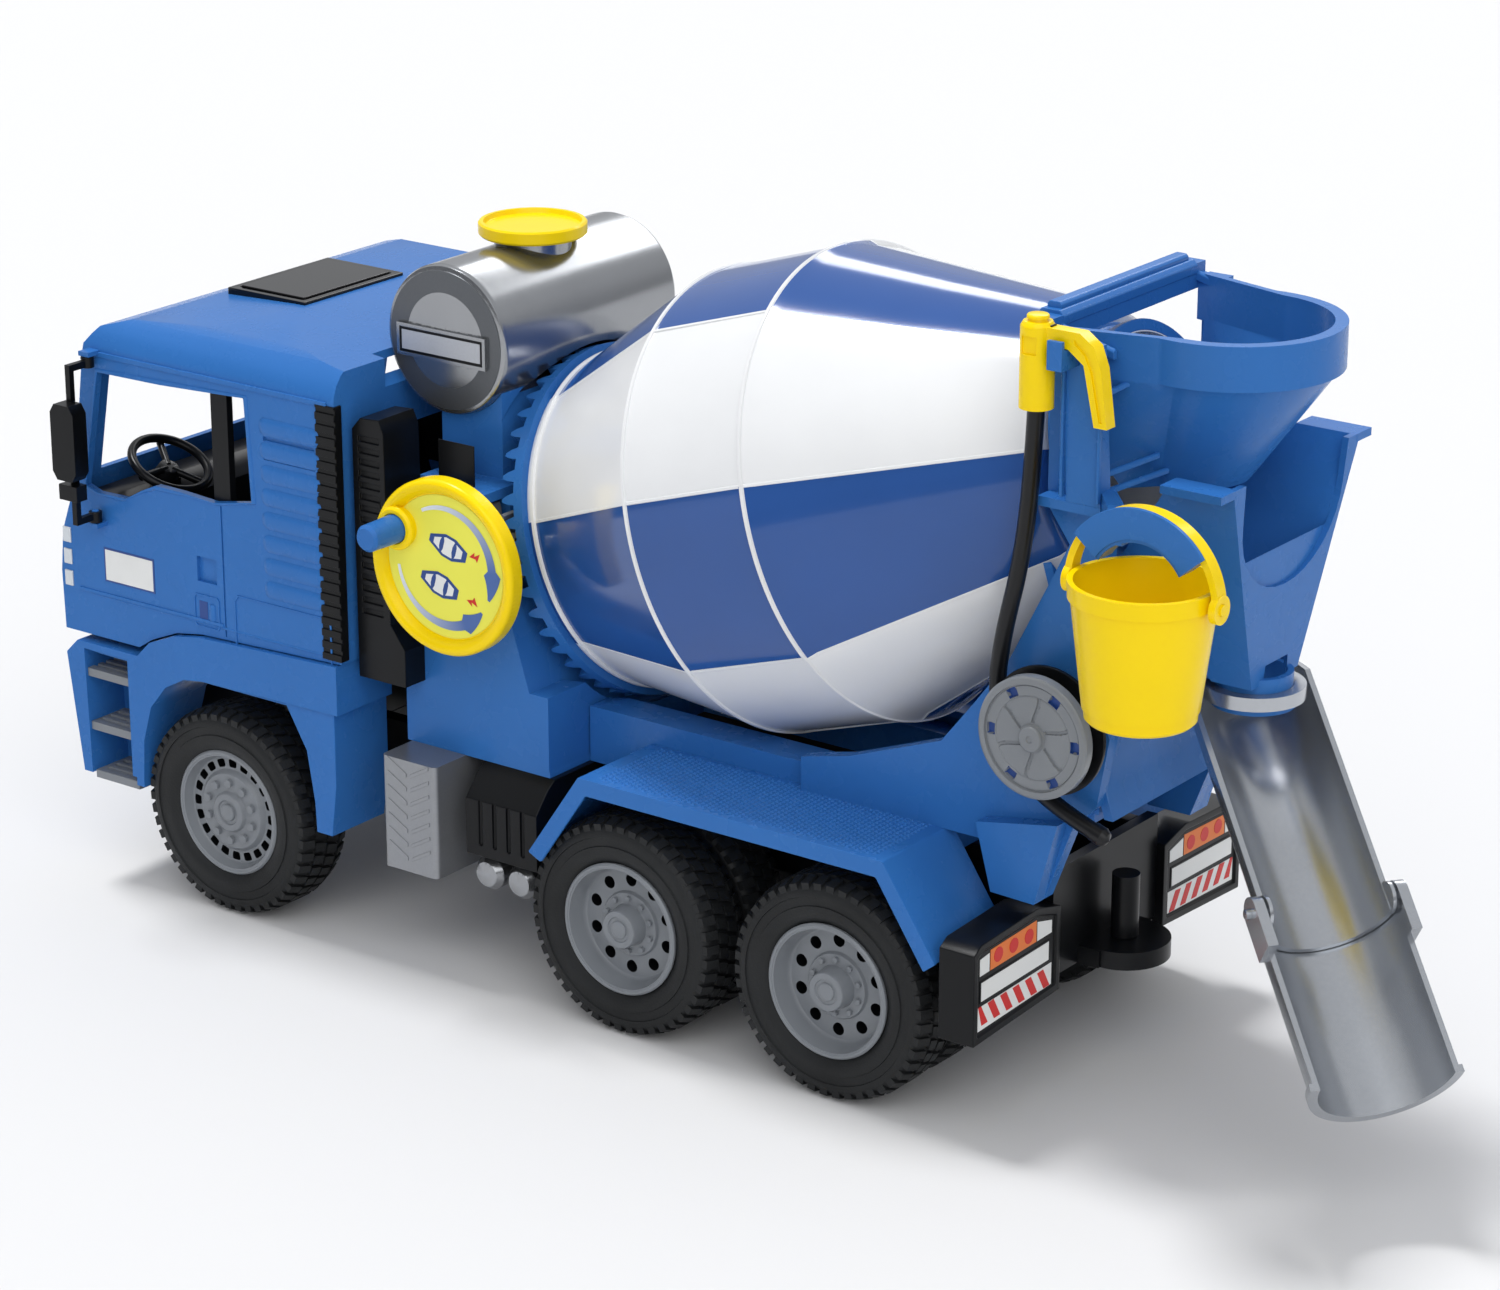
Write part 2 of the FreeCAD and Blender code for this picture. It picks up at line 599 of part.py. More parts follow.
def trough():
    """Catch funnel under the hopper, notched at the rear, with the round chute collar."""
    outside = [(-112, 144), (-98, 144), (-72, 182), (-96, 214), (-117, 214)]
    inside = [(-110, 144), (-100, 144), (-75, 181), (-66, 184), (-92, 216), (-115, 216)]
    body = trough_solid(outside, 0)
    lips = [box(-117, -96, 36, 45, 211.5, 214), box(-117, -96, -45, -36, 211.5, 214)]
    body = join(body, *lips)
    body = body.cut(trough_solid(inside, 2))
    half_turn = [math.pi * k / 16 for k in range(17)]
    bowl = [(-NOTCH_HALF * math.cos(a), NOTCH_Z - NOTCH_DEPTH * math.sin(a)) for a in half_turn]
    notch = plate_x(bowl + [(NOTCH_HALF + 1, 220), (-NOTCH_HALF - 1, 220)], -120, -113)
    collar = join(cyl_z(SPOUT[0], 0, 12, 136, 146), cyl_z(SPOUT[0], 0, 13.2, 134.8, 136.4))
    bracket = box(-96, -76.5, -10, 10, 143, 148)
    body = join(body.cut(notch), collar, bracket)
    neck = Part.makeCylinder(NECK_R + 1.8, 50, DRUM_FOOT + DRUM_DIR * (MOUTH_S - 49), DRUM_DIR)
    return body.cut([cyl_z(SPOUT[0], 0, 10, 130, 150), neck])


save(trough(), "trough")


# ---------------------------------------------------------------------------
# water tank
# ---------------------------------------------------------------------------
NECK_OUT, NECK_IN = 13.0, 11.0


def tank_half():
    """Left half of the tank: end cap, half shell and half of the filler neck."""
    foot = V(TANK[0], 0, TANK[1])
    outline = [(0, 0), (0, TANK_R), (TANK_HALF - 2, TANK_R), (TANK_HALF - 0.6, TANK_R - 0.6),
               (TANK_HALF, TANK_R - 2), (TANK_HALF + 0.8, 0)]
    inner = [(-1, 0), (-1, TANK_R - 2), (TANK_HALF - 2, TANK_R - 2), (TANK_HALF - 2, 0)]
    shell = spin(outline, foot, V(0, 1, 0), V(0, 0, 1))
    neck = cyl_z(TANK[0], 0, NECK_OUT, TANK[1] + 20, 240).common(box(160, 200, 0, 20, 225, 245))
    frame = box(160, 198, TANK_HALF, TANK_HALF + 1.6, 206, 217)
    shell = join(shell, neck, frame)
    hollow = spin(inner, foot, V(0, 1, 0), V(0, 0, 1)).cut(gear_room(GEAR_ROOM_R + 1.5))
    shell = shell.cut([hollow, gear_room(GEAR_ROOM_R - 1), cyl_z(TANK[0], 0, NECK_IN, 225, 245)])
    return shell.cut(box(161.2, 196.8, TANK_HALF + 1.1, TANK_HALF + 2, 207.2, 215.8))


def tank_cap():
    """Flat cap with a raised edge and a hollow plug."""
    outline = [(240.2, 9.2), (235, 9.2), (235, NECK_IN - RUN), (240.2, NECK_IN - RUN), (240.2, 17.6),
               (241, 18.4), (244.4, 18.4), (245, 17.8), (245, 16.6), (243.4, 16), (243.4, 0), (240.2, 0)]
    return spin(outline, V(TANK[0], 0, 0), V(0, 0, 1), V(1, 0, 0))


left_half = tank_half()
save(left_half, "tank_half_left")
save(mirrored(left_half), "tank_half_right")
save(tank_cap(), "tank_cap")


# ---------------------------------------------------------------------------
# cab
# ---------------------------------------------------------------------------
CAB = [(200, 104), (264, 101.6), (276.2, 99.6), (288.3, 94.6), (294.5, 90.6), (330.2, 90.6), (330.8, 112),
       (329.2, 127), (321.8, 146.7), (314.8, 197), (309.5, 203.2), (298, 206.4), (262, 208), (222, 207.4),
       (200, 204.9)]
SIDE_WINDOW = [(238, 154), (256, 150.6), (270.5, 151.5), (282.7, 151.7), (289.5, 148.7), (297.4, 144.3),
               (310.9, 144), (316.4, 145.8), (308.2, 187.9), (278.5, 188.4), (239.9, 190.3)]
WINDSCREEN = [(-68, 149), (68, 149), (66, 193), (-66, 193)]
HATCH = (259, 295, 26)
STRIP = (199.4, 208.0, 74.6, 105.0, 194.0)


def scaled(outline, inset):
    """Outline pulled in towards its inside by inset, for convex outlines walked anticlockwise."""
    count = len(outline)
    result = []
    for k in range(count):
        (x0, z0), (x1, z1), (x2, z2) = outline[k - 1], outline[k], outline[(k + 1) % count]
        la, lb = math.hypot(x1 - x0, z1 - z0), math.hypot(x2 - x1, z2 - z1)
        ax, az, bx, bz = (x1 - x0) / la, (z1 - z0) / la, (x2 - x1) / lb, (z2 - z1) / lb
        nx, nz = -az - bz, ax + bx
        scale = inset / (1 + ax * bx + az * bz)
        result.append((x1 + nx * scale, z1 + nz * scale))
    return result


def cab_block(inset):
    """Cab body without openings; the sides lean in over the roof edge."""
    half = CAB_SIDE - inset
    body = plate_y(scaled(CAB, inset) if inset else CAB, -half, half)
    edge = [(0, 193), (0.5, 197), (1.8, 200.6), (4.2, 203.8), (7.6, 206.2), (12, 207.6), (18, 208.4)]
    right = [(half - pull, z - (inset if pull else 0)) for pull, z in edge]
    section = [(half, 80)] + right + [(-y, z) for y, z in right[::-1]] + [(-half, 80)]
    return body.common(plate_x(section, 180, 340))


def cab_lug(y0, y1):
    """Hinge lug inside the front wall, around the cab pin."""
    x, z = CAB_PIN
    return join(cyl_y(x, z, 4.5, y0, y1), box(x, 328.4, y0, y1, 91, 100))


def cab_shell():
    outer = cab_block(0)
    inner = cab_block(WALL).fuse(box(204, 327.7, -CAB_SIDE + WALL, CAB_SIDE - WALL, 80, 115))
    shell = outer.cut(inner)
    windows = [plate_y(SIDE_WINDOW, 60, 90), plate_y(SIDE_WINDOW, -90, -60),
               plate_x(WINDSCREEN, 305, 340), box(190, 210, -48, 48, 138, 180)]
    shell = shell.cut(windows)
    x0, x1, half = HATCH
    shell = shell.cut(box(x0, x1, -half, half, 200, 215))
    shell = shell.cut(cyl_y(TANK[0], TANK[1], 28.5, -52, 52))
    bx0, bx1, by, bz0, bz1 = STRIP
    shell = shell.cut([box(bx0, bx1, by, 80, bz0, bz1), box(bx0, bx1, -80, -by, bz0, bz1)])
    lugs = [cab_lug(27, 31), cab_lug(-31, -27)]
    mounts = [piece for side in (1, -1) for piece in mirror_mounts(side)]
    shell = join(shell, *(lugs + mounts))
    for k in range(6):
        z = 150.5 + 6.6 * k
        groove = box(209, 232, CAB_SIDE - 0.9, CAB_SIDE + 1, z, z + 1.5)
        shell = shell.cut([groove, mirrored(groove)])
    seam = box(252.2, 253.0, CAB_SIDE - 0.6, CAB_SIDE + 1, 103, 150)
    handle = box(256, 265, CAB_SIDE - 1.5, CAB_SIDE + 1, 121, 130)
    shell = shell.cut([seam, handle, mirrored(seam), mirrored(handle)])
    return shell.cut(cyl_y(CAB_PIN[0], CAB_PIN[1], CAB_PIN_R + RUN, -34, 34))


MIRROR_X, MIRROR_Y, MIRROR_PIN_R = 309.5, 81.2, 1.2
MIRROR_ENDS = (136.5, 192.0)


def mirror_mounts(side):
    """Two small brackets, each with an upright pin for the mirror arm."""
    pieces = []
    for z, direction in zip(MIRROR_ENDS, (-1, 1)):
        low, high = sorted((z + 2.2 * direction, z + 3.8 * direction))
        y0, y1 = sorted((side * 76.5, side * 83))
        pieces.append(box(MIRROR_X - 2.4, MIRROR_X + 2.4, y0, y1, low, high))
        pin_low, pin_high = sorted((z - 2.2 * direction, z + 3 * direction))
        pieces.append(cyl_z(MIRROR_X, side * MIRROR_Y, MIRROR_PIN_R, pin_low, pin_high))
    return pieces


def mirror_arm():
    """Left mirror: two eyes on the cab pins, a bent bar and the head."""
    bar_y = 90.0
    low, high = MIRROR_ENDS
    eyes = [cyl_z(MIRROR_X, MIRROR_Y, 2.3, z - 1.9, z + 1.9) for z in MIRROR_ENDS]
    top = box(MIRROR_X - 1.1, MIRROR_X + 1.1, MIRROR_Y + 1.5, bar_y + 1.1, high - 1.5, high + 0.9)
    foot = box(MIRROR_X - 1.1, MIRROR_X + 1.1, MIRROR_Y + 1.5, bar_y + 1.1, low - 0.9, low + 1.5)
    bar = box(MIRROR_X - 1.1, MIRROR_X + 1.1, bar_y - 1.1, bar_y + 1.1, low, high)
    head = plate_y([(303, 156), (305, 153), (312, 153), (314, 156), (314, 177), (312, 180), (305, 180),
                    (303, 177)], 89.5, 96)
    small = box(304.5, 313, 89.5, 94.5, 145.5, 151)
    body = join(*(eyes + [top, foot, bar, head, small]))
    return body.cut([cyl_z(MIRROR_X, MIRROR_Y, MIRROR_PIN_R + RUN, z - 3, z + 3) for z in MIRROR_ENDS])


def cab_interior():
    """Black tub with the floor, the dashboard, two seats and the door posts."""
    half = CAB_SIDE - WALL
    floor = box(208.6, 300, -half, half, 104.5, 107.5)
    seats = []
    for y in (38, -38):
        seats += [box(218, 256, y - 19, y + 19, 107, 128), box(214, 226, y - 18, y + 18, 127, 168),
                  box(215, 222, y - 10, y + 10, 167, 182)]
    dash = plate_y([(288, 107), (316, 107), (320, 128), (316.5, 143.5), (306, 143.5), (298, 138), (292, 120)],
                   -half, half)
    posts = [box(250.5, 258, 72.5, half - 0.1, 107, 192), box(250.5, 258, 0.1 - half, -72.5, 107, 192)]
    column = plate_y([(302, 139), (308.4, 139), (308.3, 146.6), (301.97, 143.2)], 46, 54)
    return join(floor, dash, column, *(seats + posts))


def steering_wheel():
    """Wheel on a short boss, leaning towards the driver."""
    foot, lean = V(305.1, 50, 145.0), math.radians(28)
    along, out = V(-math.sin(lean), 0, math.cos(lean)), V(math.cos(lean), 0, math.sin(lean))
    boss = spin([(0, 0), (0, 4.5), (3.5, 3.5), (3.5, 0)], foot, along, out)
    rim = Part.makeTorus(14, 1.6, foot + along * 4.5, along)
    spokes = []
    for k in range(3):
        a = 2 * math.pi * k / 3 + math.pi / 2
        reach = out * math.cos(a) + V(0, 1, 0) * math.sin(a)
        spokes.append(Part.makeCylinder(1.3, 12.6, foot + along * 2.6 + reach * 1.2, reach))
    return join(boss, rim, *spokes)


def grille():
    outline = [(330.36, 96), (330.8, 112), (329.26, 126.5), (331.9, 127.5), (334, 112), (333.6, 96)]
    body = plate_y(outline, -45, 45)
    for k in range(5):
        z = 99.5 + 5.4 * k
        body = body.cut(box(332.2, 336, -42, 42, z, z + 2.2))
    return body


def corner_strips():
    """Ribbed strips that wrap the rear corners of the cab."""
    x0, x1, y0, z0, z1 = STRIP
    strip = box(199.4, 208, 74.6, 78.6, z0, z1)
    for k in range(21):
        z = z0 + 2.4 + 4.2 * k
        strip = strip.cut(box(198, 209, 78.0, 80, z, z + 1.6))
    return both(strip.cut(box(200, 206, 74, 75.5, z0 - 1, z1 + 1)))


def roof_hatch():
    x0, x1, half = HATCH
    lid = box(x0, x1, -half, half, 204.4, 209)
    return lid.cut([box(x0 + 3, x1 - 3, -half + 3, half - 3, 208.2, 210),
                    box(x0 + 2, x1 - 2, -half + 2, half - 2, 203, 206.6)])


save(cab_shell(), "cab_shell")
save(cab_interior(), "cab_interior")
save(steering_wheel(), "steering_wheel")
save(grille(), "grille")
save(corner_strips(), "corner_strips")
save(roof_hatch(), "roof_hatch")
left_mirror = mirror_arm()
save(left_mirror, "mirror_left")
save(mirrored(left_mirror), "mirror_right")


# ---------------------------------------------------------------------------
# drum with crown gear
# ---------------------------------------------------------------------------
def front_shell():
    """Closed foot, widening cone and cylindrical belt."""
    outer = [(FRONT_S, 0), (FRONT_S, 57.1), (20.5, 57.9), (22, 57.3), (76.5, 77.0), (78, 77.6), (79.5, 77.2),
             (SPLIT_S, 77.0)]
    inner = [(SPLIT_S, 75.0), (78, 75.2), (22, 55.2), (20.5, 54), (20.5, 0)]
    return drum_spin(outer + inner)


def rear_shell():
    """Long cone, shoulder and neck with its flange."""
    outer = [(SPLIT_S, 77.6), (127, 77.6), (CONE_S, CONE_R), (SHOULDER_S, SHOULDER_R),
             (SHOULDER_S + 1, NECK_R),
             (MOUTH_S - 2, NECK_R), (MOUTH_S - 2, NECK_R + 0.9), (MOUTH_S, NECK_R + 0.9)]
    inner = [(MOUTH_S, NECK_R - 2), (SHOULDER_S - 1, NECK_R - 2), (SHOULDER_S - 2, 43.0), (130, 73.3),
             (SPLIT_S, 75.0)]
    return drum_spin(outer + inner)


def drum_fins():
    """Three slanted mixing blades inside the rear cone."""
    fins = []
    for k in range(3):
        a = 2 * math.pi * k / 3
        blade = [drum_point(132, 72.3, a), drum_point(205, 45.0, a), drum_point(205, 35, a),
                 drum_point(132, 58, a)]
        tangent = DRUM_DIR.cross(drum_point(0, 1, a) - DRUM_FOOT)
        for point in range(4):
            blade[point] = blade[point] - tangent * 0.8
        fins.append(face(blade).extrude(tangent * 1.6))
    return Part.makeCompound(fins)


def crown_gear():
    """Gear disc whose teeth point forwards, with the journal of the drum."""
    disc = drum_spin([(TOOTH_ROOT_S, 40), (TOOTH_ROOT_S, 60), (FRONT_S, 60), (FRONT_S, JOURNAL_R - 1),
                      (15.5, JOURNAL_R - 1), (15.5, 40)])
    journal = Part.makeCylinder(JOURNAL_R, FRONT_S + 7, DRUM_FOOT - DRUM_DIR * 7, DRUM_DIR)
    teeth = []
    pitch = 2 * math.pi / GEAR_TEETH
    for k in range(GEAR_TEETH):
        a = pitch * k + GEAR_PHASE
        sections = []
        for s, share in ((TOOTH_ROOT_S + 0.2, 0.54), (TOOTH_PITCH_S, 0.38), (TOOTH_TIP_S, 0.16)):
            corners = [drum_point(s, r, a + sign * share * pitch / 2)
                       for r, sign in ((50, -1), (50, 1), (60, 1), (60, -1))]
            sections.append(Part.makePolygon(corners + [corners[0]]))
        teeth.append(Part.makeLoft(sections, True, True))
    gear = disc.fuse([journal] + teeth)
    trim = drum_spin([(5, 59.9), (5, 70), (30, 70), (30, 59.9)])
    return gear.cut(trim)


# a tooth of the crown gear stands level with the crank shaft
GEAR_PHASE = math.asin((CRANK[1] - DRUM_FOOT.z) / GEAR_PITCH_R / math.cos(DRUM_TILT))


def crank_pinion():
    """Spur pinion whose tooth gap faces the crown gear."""
    x, z = CRANK
    pitch = 2 * math.pi / PINION_TEETH
    body = cyl_y(x, z, PINION_PITCH_R - 2.6, 50, 57)
    facing = math.atan2(DRUM_DIR.z, DRUM_DIR.x)
    teeth = []
    for k in range(PINION_TEETH):
        a = facing + pitch * (k + 0.5)
        outline = []
        for r, share in ((10.2, -0.52), (PINION_PITCH_R, -0.36), (PINION_PITCH_R + 1.9, -0.15),
                         (PINION_PITCH_R + 1.9, 0.15), (PINION_PITCH_R, 0.36), (10.2, 0.52)):
            b = a + share * pitch / 2
            outline.append((x + r * math.cos(b), z + r * math.sin(b)))
        teeth.append(plate_y(outline, 50, 57))
    return body.fuse(teeth).removeSplitter().cut(cyl_y(x, z, SHAFT_R + SEAT, 49, 58))


def crank_wheel():
    """Dished hand wheel with a raised edge and a boss for the knob."""
    x, z = CRANK
    outline = [(66.5, SHAFT_R + SEAT), (66.5, 9), (73, 9), (74, 27.5), (74.5, CRANK_R - 0.6), (75.2, CRANK_R),
               (79.4, CRANK_R), (80, CRANK_R - 0.8), (80, 26), (78, 25), (78, 0), (76, 0),
               (76, SHAFT_R + SEAT)]
    wheel = spin(outline, V(x, 0, z), V(0, 1, 0), V(0, 0, 1))
    boss = cyl_y(KNOB[0], KNOB[1], 6.8, 74.5, 80)
    return join(wheel, boss).cut(cyl_y(KNOB[0], KNOB[1], 2.0 + RUN, 73, 82))


def crank_knob():
    x, z = KNOB
    outline = [(73.2, 0), (73.2, 3.2), (74.2, 3.2), (74.2, 2.0), (80.4, 2.0), (80.4, 4.9), (94.8, 4.6),
               (96, 3.6), (96, 0)]
    return spin(outline, V(x, 0, z), V(0, 1, 0), V(0, 0, 1))


save(front_shell(), "drum_front_shell")
save(rear_shell(), "drum_rear_shell")
save(drum_fins(), "drum_fins")
save(crown_gear(), "ring_gear")
save(crank_pinion(), "crank_pinion")
save(crank_wheel().cut(cyl_y(KNOB[0], KNOB[1], 3.3, 72, 74.4)), "crank_wheel")
save(cyl_y(CRANK[0], CRANK[1], SHAFT_R, 39.5, 75.9), "crank_shaft")
save(crank_knob(), "crank_knob")


# ---------------------------------------------------------------------------
# chute
# ---------------------------------------------------------------------------
CHUTE_TOP = V(SPOUT[0], SPOUT[1], CHUTE_Z)
LUG_R, CHUTE_PIN_R = 5.0, 1.5


def half_pipe(inner, outer, start, end):
    """Open channel whose edges lie level with the chute axis."""
    foot = CHUTE_TOP + CHUTE_DIR * start
    pipe = Part.makeCylinder(outer, end - start, foot, CHUTE_DIR)
    pipe = pipe.cut(Part.makeCylinder(inner, end - start, foot, CHUTE_DIR))
    corners = [foot + CHUTE_SIDE * side + CHUTE_UP * up
               for side, up in ((-60, 0), (60, 0), (60, 60), (-60, 60))]
    return pipe.cut(face(corners).extrude(CHUTE_DIR * (end - start)))


def chute_cylinder(s, side0, side1, up, r):
    foot = CHUTE_TOP + CHUTE_DIR * s + CHUTE_SIDE * side0 + CHUTE_UP * up
    return Part.makeCylinder(r, side1 - side0, foot, CHUTE_SIDE)


def upper_chute():
    """Half pipe with its swivel ring, end wall, hinge lugs and pins."""
    outer = CHUTE_R + CHUTE_WALL
    channel = half_pipe(CHUTE_R, outer, -15.8, CHUTE_FOLD)
    wall = half_pipe(0.5, outer, -15.8, -14)
    x, y = SPOUT
    ring = cyl_z(x, y, 16, 137.2, 141.6)
    body = join(channel, wall, ring)
    lugs = []
    for side in (-1, 1):
        side0, side1 = sorted((side * (CHUTE_R + 0.2), side * (outer - 0.5)))
        pin0, pin1 = sorted((side * (CHUTE_R + 0.5), side * (outer + 5.6)))
        lugs += [chute_cylinder(CHUTE_FOLD - 4, side0, side1, 0, LUG_R),
                 chute_cylinder(CHUTE_FOLD - 4, pin0, pin1, 0, CHUTE_PIN_R)]
    body = join(body, *lugs)
    body = body.cut(Part.makeCylinder(CHUTE_R, 200, CHUTE_TOP + CHUTE_DIR * 20, CHUTE_DIR))
    return body.cut([box(-200, 0, -100, 100, 141.6, 170), cyl_z(x, y, 12 + RUN * 3, 130, 150),
                     cyl_z(x, y, 14, 134.3, 137)])


def chute_extension():
    """Lower half pipe, slightly wider, hung outside the upper one on two cheeks."""
    inner = CHUTE_R + CHUTE_WALL + 0.5
    outer = inner + CHUTE_WALL
    body = half_pipe(inner, outer, CHUTE_FOLD - 2, CHUTE_END)
    cheeks, bores = [], []
    for side in (-1, 1):
        side0, side1 = sorted((side * inner, side * (inner + 3.4)))
        cheeks.append(chute_cylinder(CHUTE_FOLD - 4, side0, side1, 0, LUG_R))
        foot = CHUTE_TOP + CHUTE_DIR * (CHUTE_FOLD - 4) + CHUTE_UP * -LUG_R
        corners = [foot + CHUTE_SIDE * s + CHUTE_UP * u
                   for s, u in ((side0, 0), (side1, 0), (side1, 2 * LUG_R), (side0, 2 * LUG_R))]
        cheeks.append(face(corners).extrude(CHUTE_DIR * 14))
        bores.append(chute_cylinder(CHUTE_FOLD - 4, side0 - 1, side1 + 1, 0, CHUTE_PIN_R + RUN))
    lip = half_pipe(outer - 0.5, outer + 1.2, CHUTE_END - 2.5, CHUTE_END)
    return join(body, lip, *cheeks).cut(bores)


save(upper_chute(), "chute_upper")
save(chute_extension(), "chute_extension")


# ---------------------------------------------------------------------------
# reel, bucket, gun, hose
# ---------------------------------------------------------------------------
def reel_disc():
    """Spoked face of the reel with its winding hub."""
    x, z = REEL
    outline = [(58, AXLE_R + RUN), (58, 14), (62, 14), (62, 18.8), (62.6, 19.4), (66, 19.4), (66.4, 18.8),
               (66.4, 17.4), (65.6, 17), (65.6, 5), (66.2, 4.4), (66.2, AXLE_R + RUN)]
    return spin(outline, V(x, 0, z), V(0, 1, 0), V(0, 0, 1))


def reel_flange():
    x, z = REEL
    return cyl_y(x, z, 20.5, 56.6, 58).cut(cyl_y(x, z, AXLE_R + RUN, 56, 59))


save(reel_disc(), "reel_disc")
save(reel_flange(), "reel_flange")


def bucket():
    """Tapered pail with a rolled rim and two bail ears."""
    x, y = BUCKET
    outline = [(152.5, 0), (152.5, 15.7), (153.5, 16.7), (156.5, 16.9), (156.5, 17.4), (190.2, 21.6),
               (190.2, 22.4), (195.5, 22.6), (195.5, 20.8), (157, 15.6), (155, 15.4), (155, 0)]
    pail = spin(outline, V(x, y, 0), V(0, 0, 1), V(1, 0, 0))
    ears = [cyl_x(y, BAIL_Z, 1.8, x - 26.6, x - 22), cyl_x(y, BAIL_Z, 1.8, x + 22, x + 26.6)]
    return join(pail, *ears).cut(spin([(157, 0), (157, 15.6), (195.6, 20.8), (195.6, 0)],
                                      V(x, y, 0), V(0, 0, 1), V(1, 0, 0)))


def bucket_bail():
    """Half-round bail with an eye at each end."""
    x, y = BUCKET
    bow = cyl_y(x, BAIL_Z, BAIL_OUT, y - 2.4, y + 2.4).cut(cyl_y(x, BAIL_Z, BAIL_IN, y - 4, y + 4))
    bow = bow.common(box(x - 40, x + 40, y - 5, y + 5, BAIL_Z - 0.5, BAIL_Z + 40))
    eyes = [cyl_x(y, BAIL_Z, 4.4, x + BAIL_IN, x + BAIL_OUT), cyl_x(y, BAIL_Z, 4.4, x - BAIL_OUT, x - BAIL_IN)]
    bores = [cyl_x(y, BAIL_Z, 1.8 + RUN, x - 30, x - 20), cyl_x(y, BAIL_Z, 1.8 + RUN, x + 20, x + 30)]
    return join(bow, *eyes).cut(bores)


save(bucket(), "bucket")
save(bucket_bail(), "bucket_bail")


def spray_gun():
    """Barrel with a bent lever handle."""
    x, y = -60.0, 57.0
    barrel = spin([(234.5, 0), (234.5, 5.3), (259.5, 5.3), (261, 4.4), (261, 3), (262.4, 2.6), (262.4, 0)],
                  V(x, y, 0), V(0, 0, 1), V(1, 0, 0))
    handle = plate_y([(-62, 260), (-62, 254.5), (-72, 254.5), (-77.5, 250.5), (-81.5, 232.4), (-86, 232.4),
                      (-83.5, 250), (-81, 256.5), (-76, 260)], 54.6, 59.4)
    groove = plate_y([(-74, 258), (-79, 254.5), (-81.5, 249), (-84.4, 234), (-83.2, 234), (-80, 248.6),
                      (-77.6, 253.6), (-74, 256.6)], 58.8, 60)
    slot = box(-62.5, -57.5, y + 4.2, y + 6, 251.5, 257)
    return join(barrel, handle).cut([groove, slot])


def hose():
    """Straight runs joined by tangent arcs; returns the tube and prints its bends."""
    points = [V(*p) for p in HOSE_ROUTE]
    edges, start = [], points[0]
    for k in range(1, len(points) - 1):
        back, ahead = points[k - 1] - points[k], points[k + 1] - points[k]
        reach = 0.45 * min(back.Length, ahead.Length)
        turn = math.pi - back.getAngle(ahead)
        print("hose bend radius %.1f mm" % (reach / math.tan(turn / 2)))
        back.normalize()
        ahead.normalize()
        enter, leave = points[k] + back * reach, points[k] + ahead * reach
        half = turn / 2
        radius = reach / math.tan(half)
        inward = (back + ahead).normalize()
        crest = points[k] + inward * (radius / math.cos(half) - radius)
        edges += [Part.LineSegment(start, enter).toShape(), Part.Arc(enter, crest, leave).toShape()]
        start = leave
    edges.append(Part.LineSegment(start, points[-1]).toShape())
    path = Part.Wire(edges)
    first = points[1] - points[0]
    circle = Part.Wire([Part.Circle(points[0], first, HOSE_R).toShape()])
    tube = path.makePipeShell([circle], True, False)
    print("hose length %.1f mm, volume error %.3f %%"
          % (path.Length, 100 * (tube.Volume / (math.pi * HOSE_R ** 2 * path.Length) - 1)))
    return tube


def hose_tip():
    """Rounded plug on the free end of the hose."""
    end, before = V(*HOSE_ROUTE[-1]), V(*HOSE_ROUTE[-2])
    along = (end - before).normalize()
    out = along.cross(V(0, 1, 0))
    return spin([(0, 0), (0, HOSE_R + 0.3), (3.5, HOSE_R + 0.3), (5.2, HOSE_R - 0.6), (6, 0)], end, along, out)


save(spray_gun(), "spray_gun")
save(hose(), "cleaning_hose")
save(hose_tip(), "hose_end")
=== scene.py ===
import bmesh
import bpy
import math
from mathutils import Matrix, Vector


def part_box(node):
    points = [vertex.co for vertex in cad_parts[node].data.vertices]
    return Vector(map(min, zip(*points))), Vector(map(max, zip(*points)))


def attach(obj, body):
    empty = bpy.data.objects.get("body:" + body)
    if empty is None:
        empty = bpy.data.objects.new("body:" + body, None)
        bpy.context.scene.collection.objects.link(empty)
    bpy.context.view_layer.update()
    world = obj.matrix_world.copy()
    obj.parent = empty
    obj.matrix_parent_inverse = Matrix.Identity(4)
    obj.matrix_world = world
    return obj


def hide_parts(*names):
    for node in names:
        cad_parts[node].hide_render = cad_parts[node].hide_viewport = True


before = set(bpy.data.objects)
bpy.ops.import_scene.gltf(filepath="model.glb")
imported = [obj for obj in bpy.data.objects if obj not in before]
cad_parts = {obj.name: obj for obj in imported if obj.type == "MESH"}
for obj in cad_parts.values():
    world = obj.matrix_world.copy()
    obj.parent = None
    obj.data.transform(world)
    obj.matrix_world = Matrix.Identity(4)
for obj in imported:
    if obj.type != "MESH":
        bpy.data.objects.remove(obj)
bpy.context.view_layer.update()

MM = 0.001
TURN = 2 * math.pi
REAR_X = sum(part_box("rear_axle"), Vector()).x / 2


# ---------------------------------------------------------------------------
# places: millimetres from the rear axle, X forward, Y left, Z up
# ---------------------------------------------------------------------------
def at(x, y, z):
    return Vector((REAR_X + x * MM, y * MM, z * MM))


X, Y, Z = Vector((1, 0, 0)), Vector((0, 1, 0)), Vector((0, 0, 1))

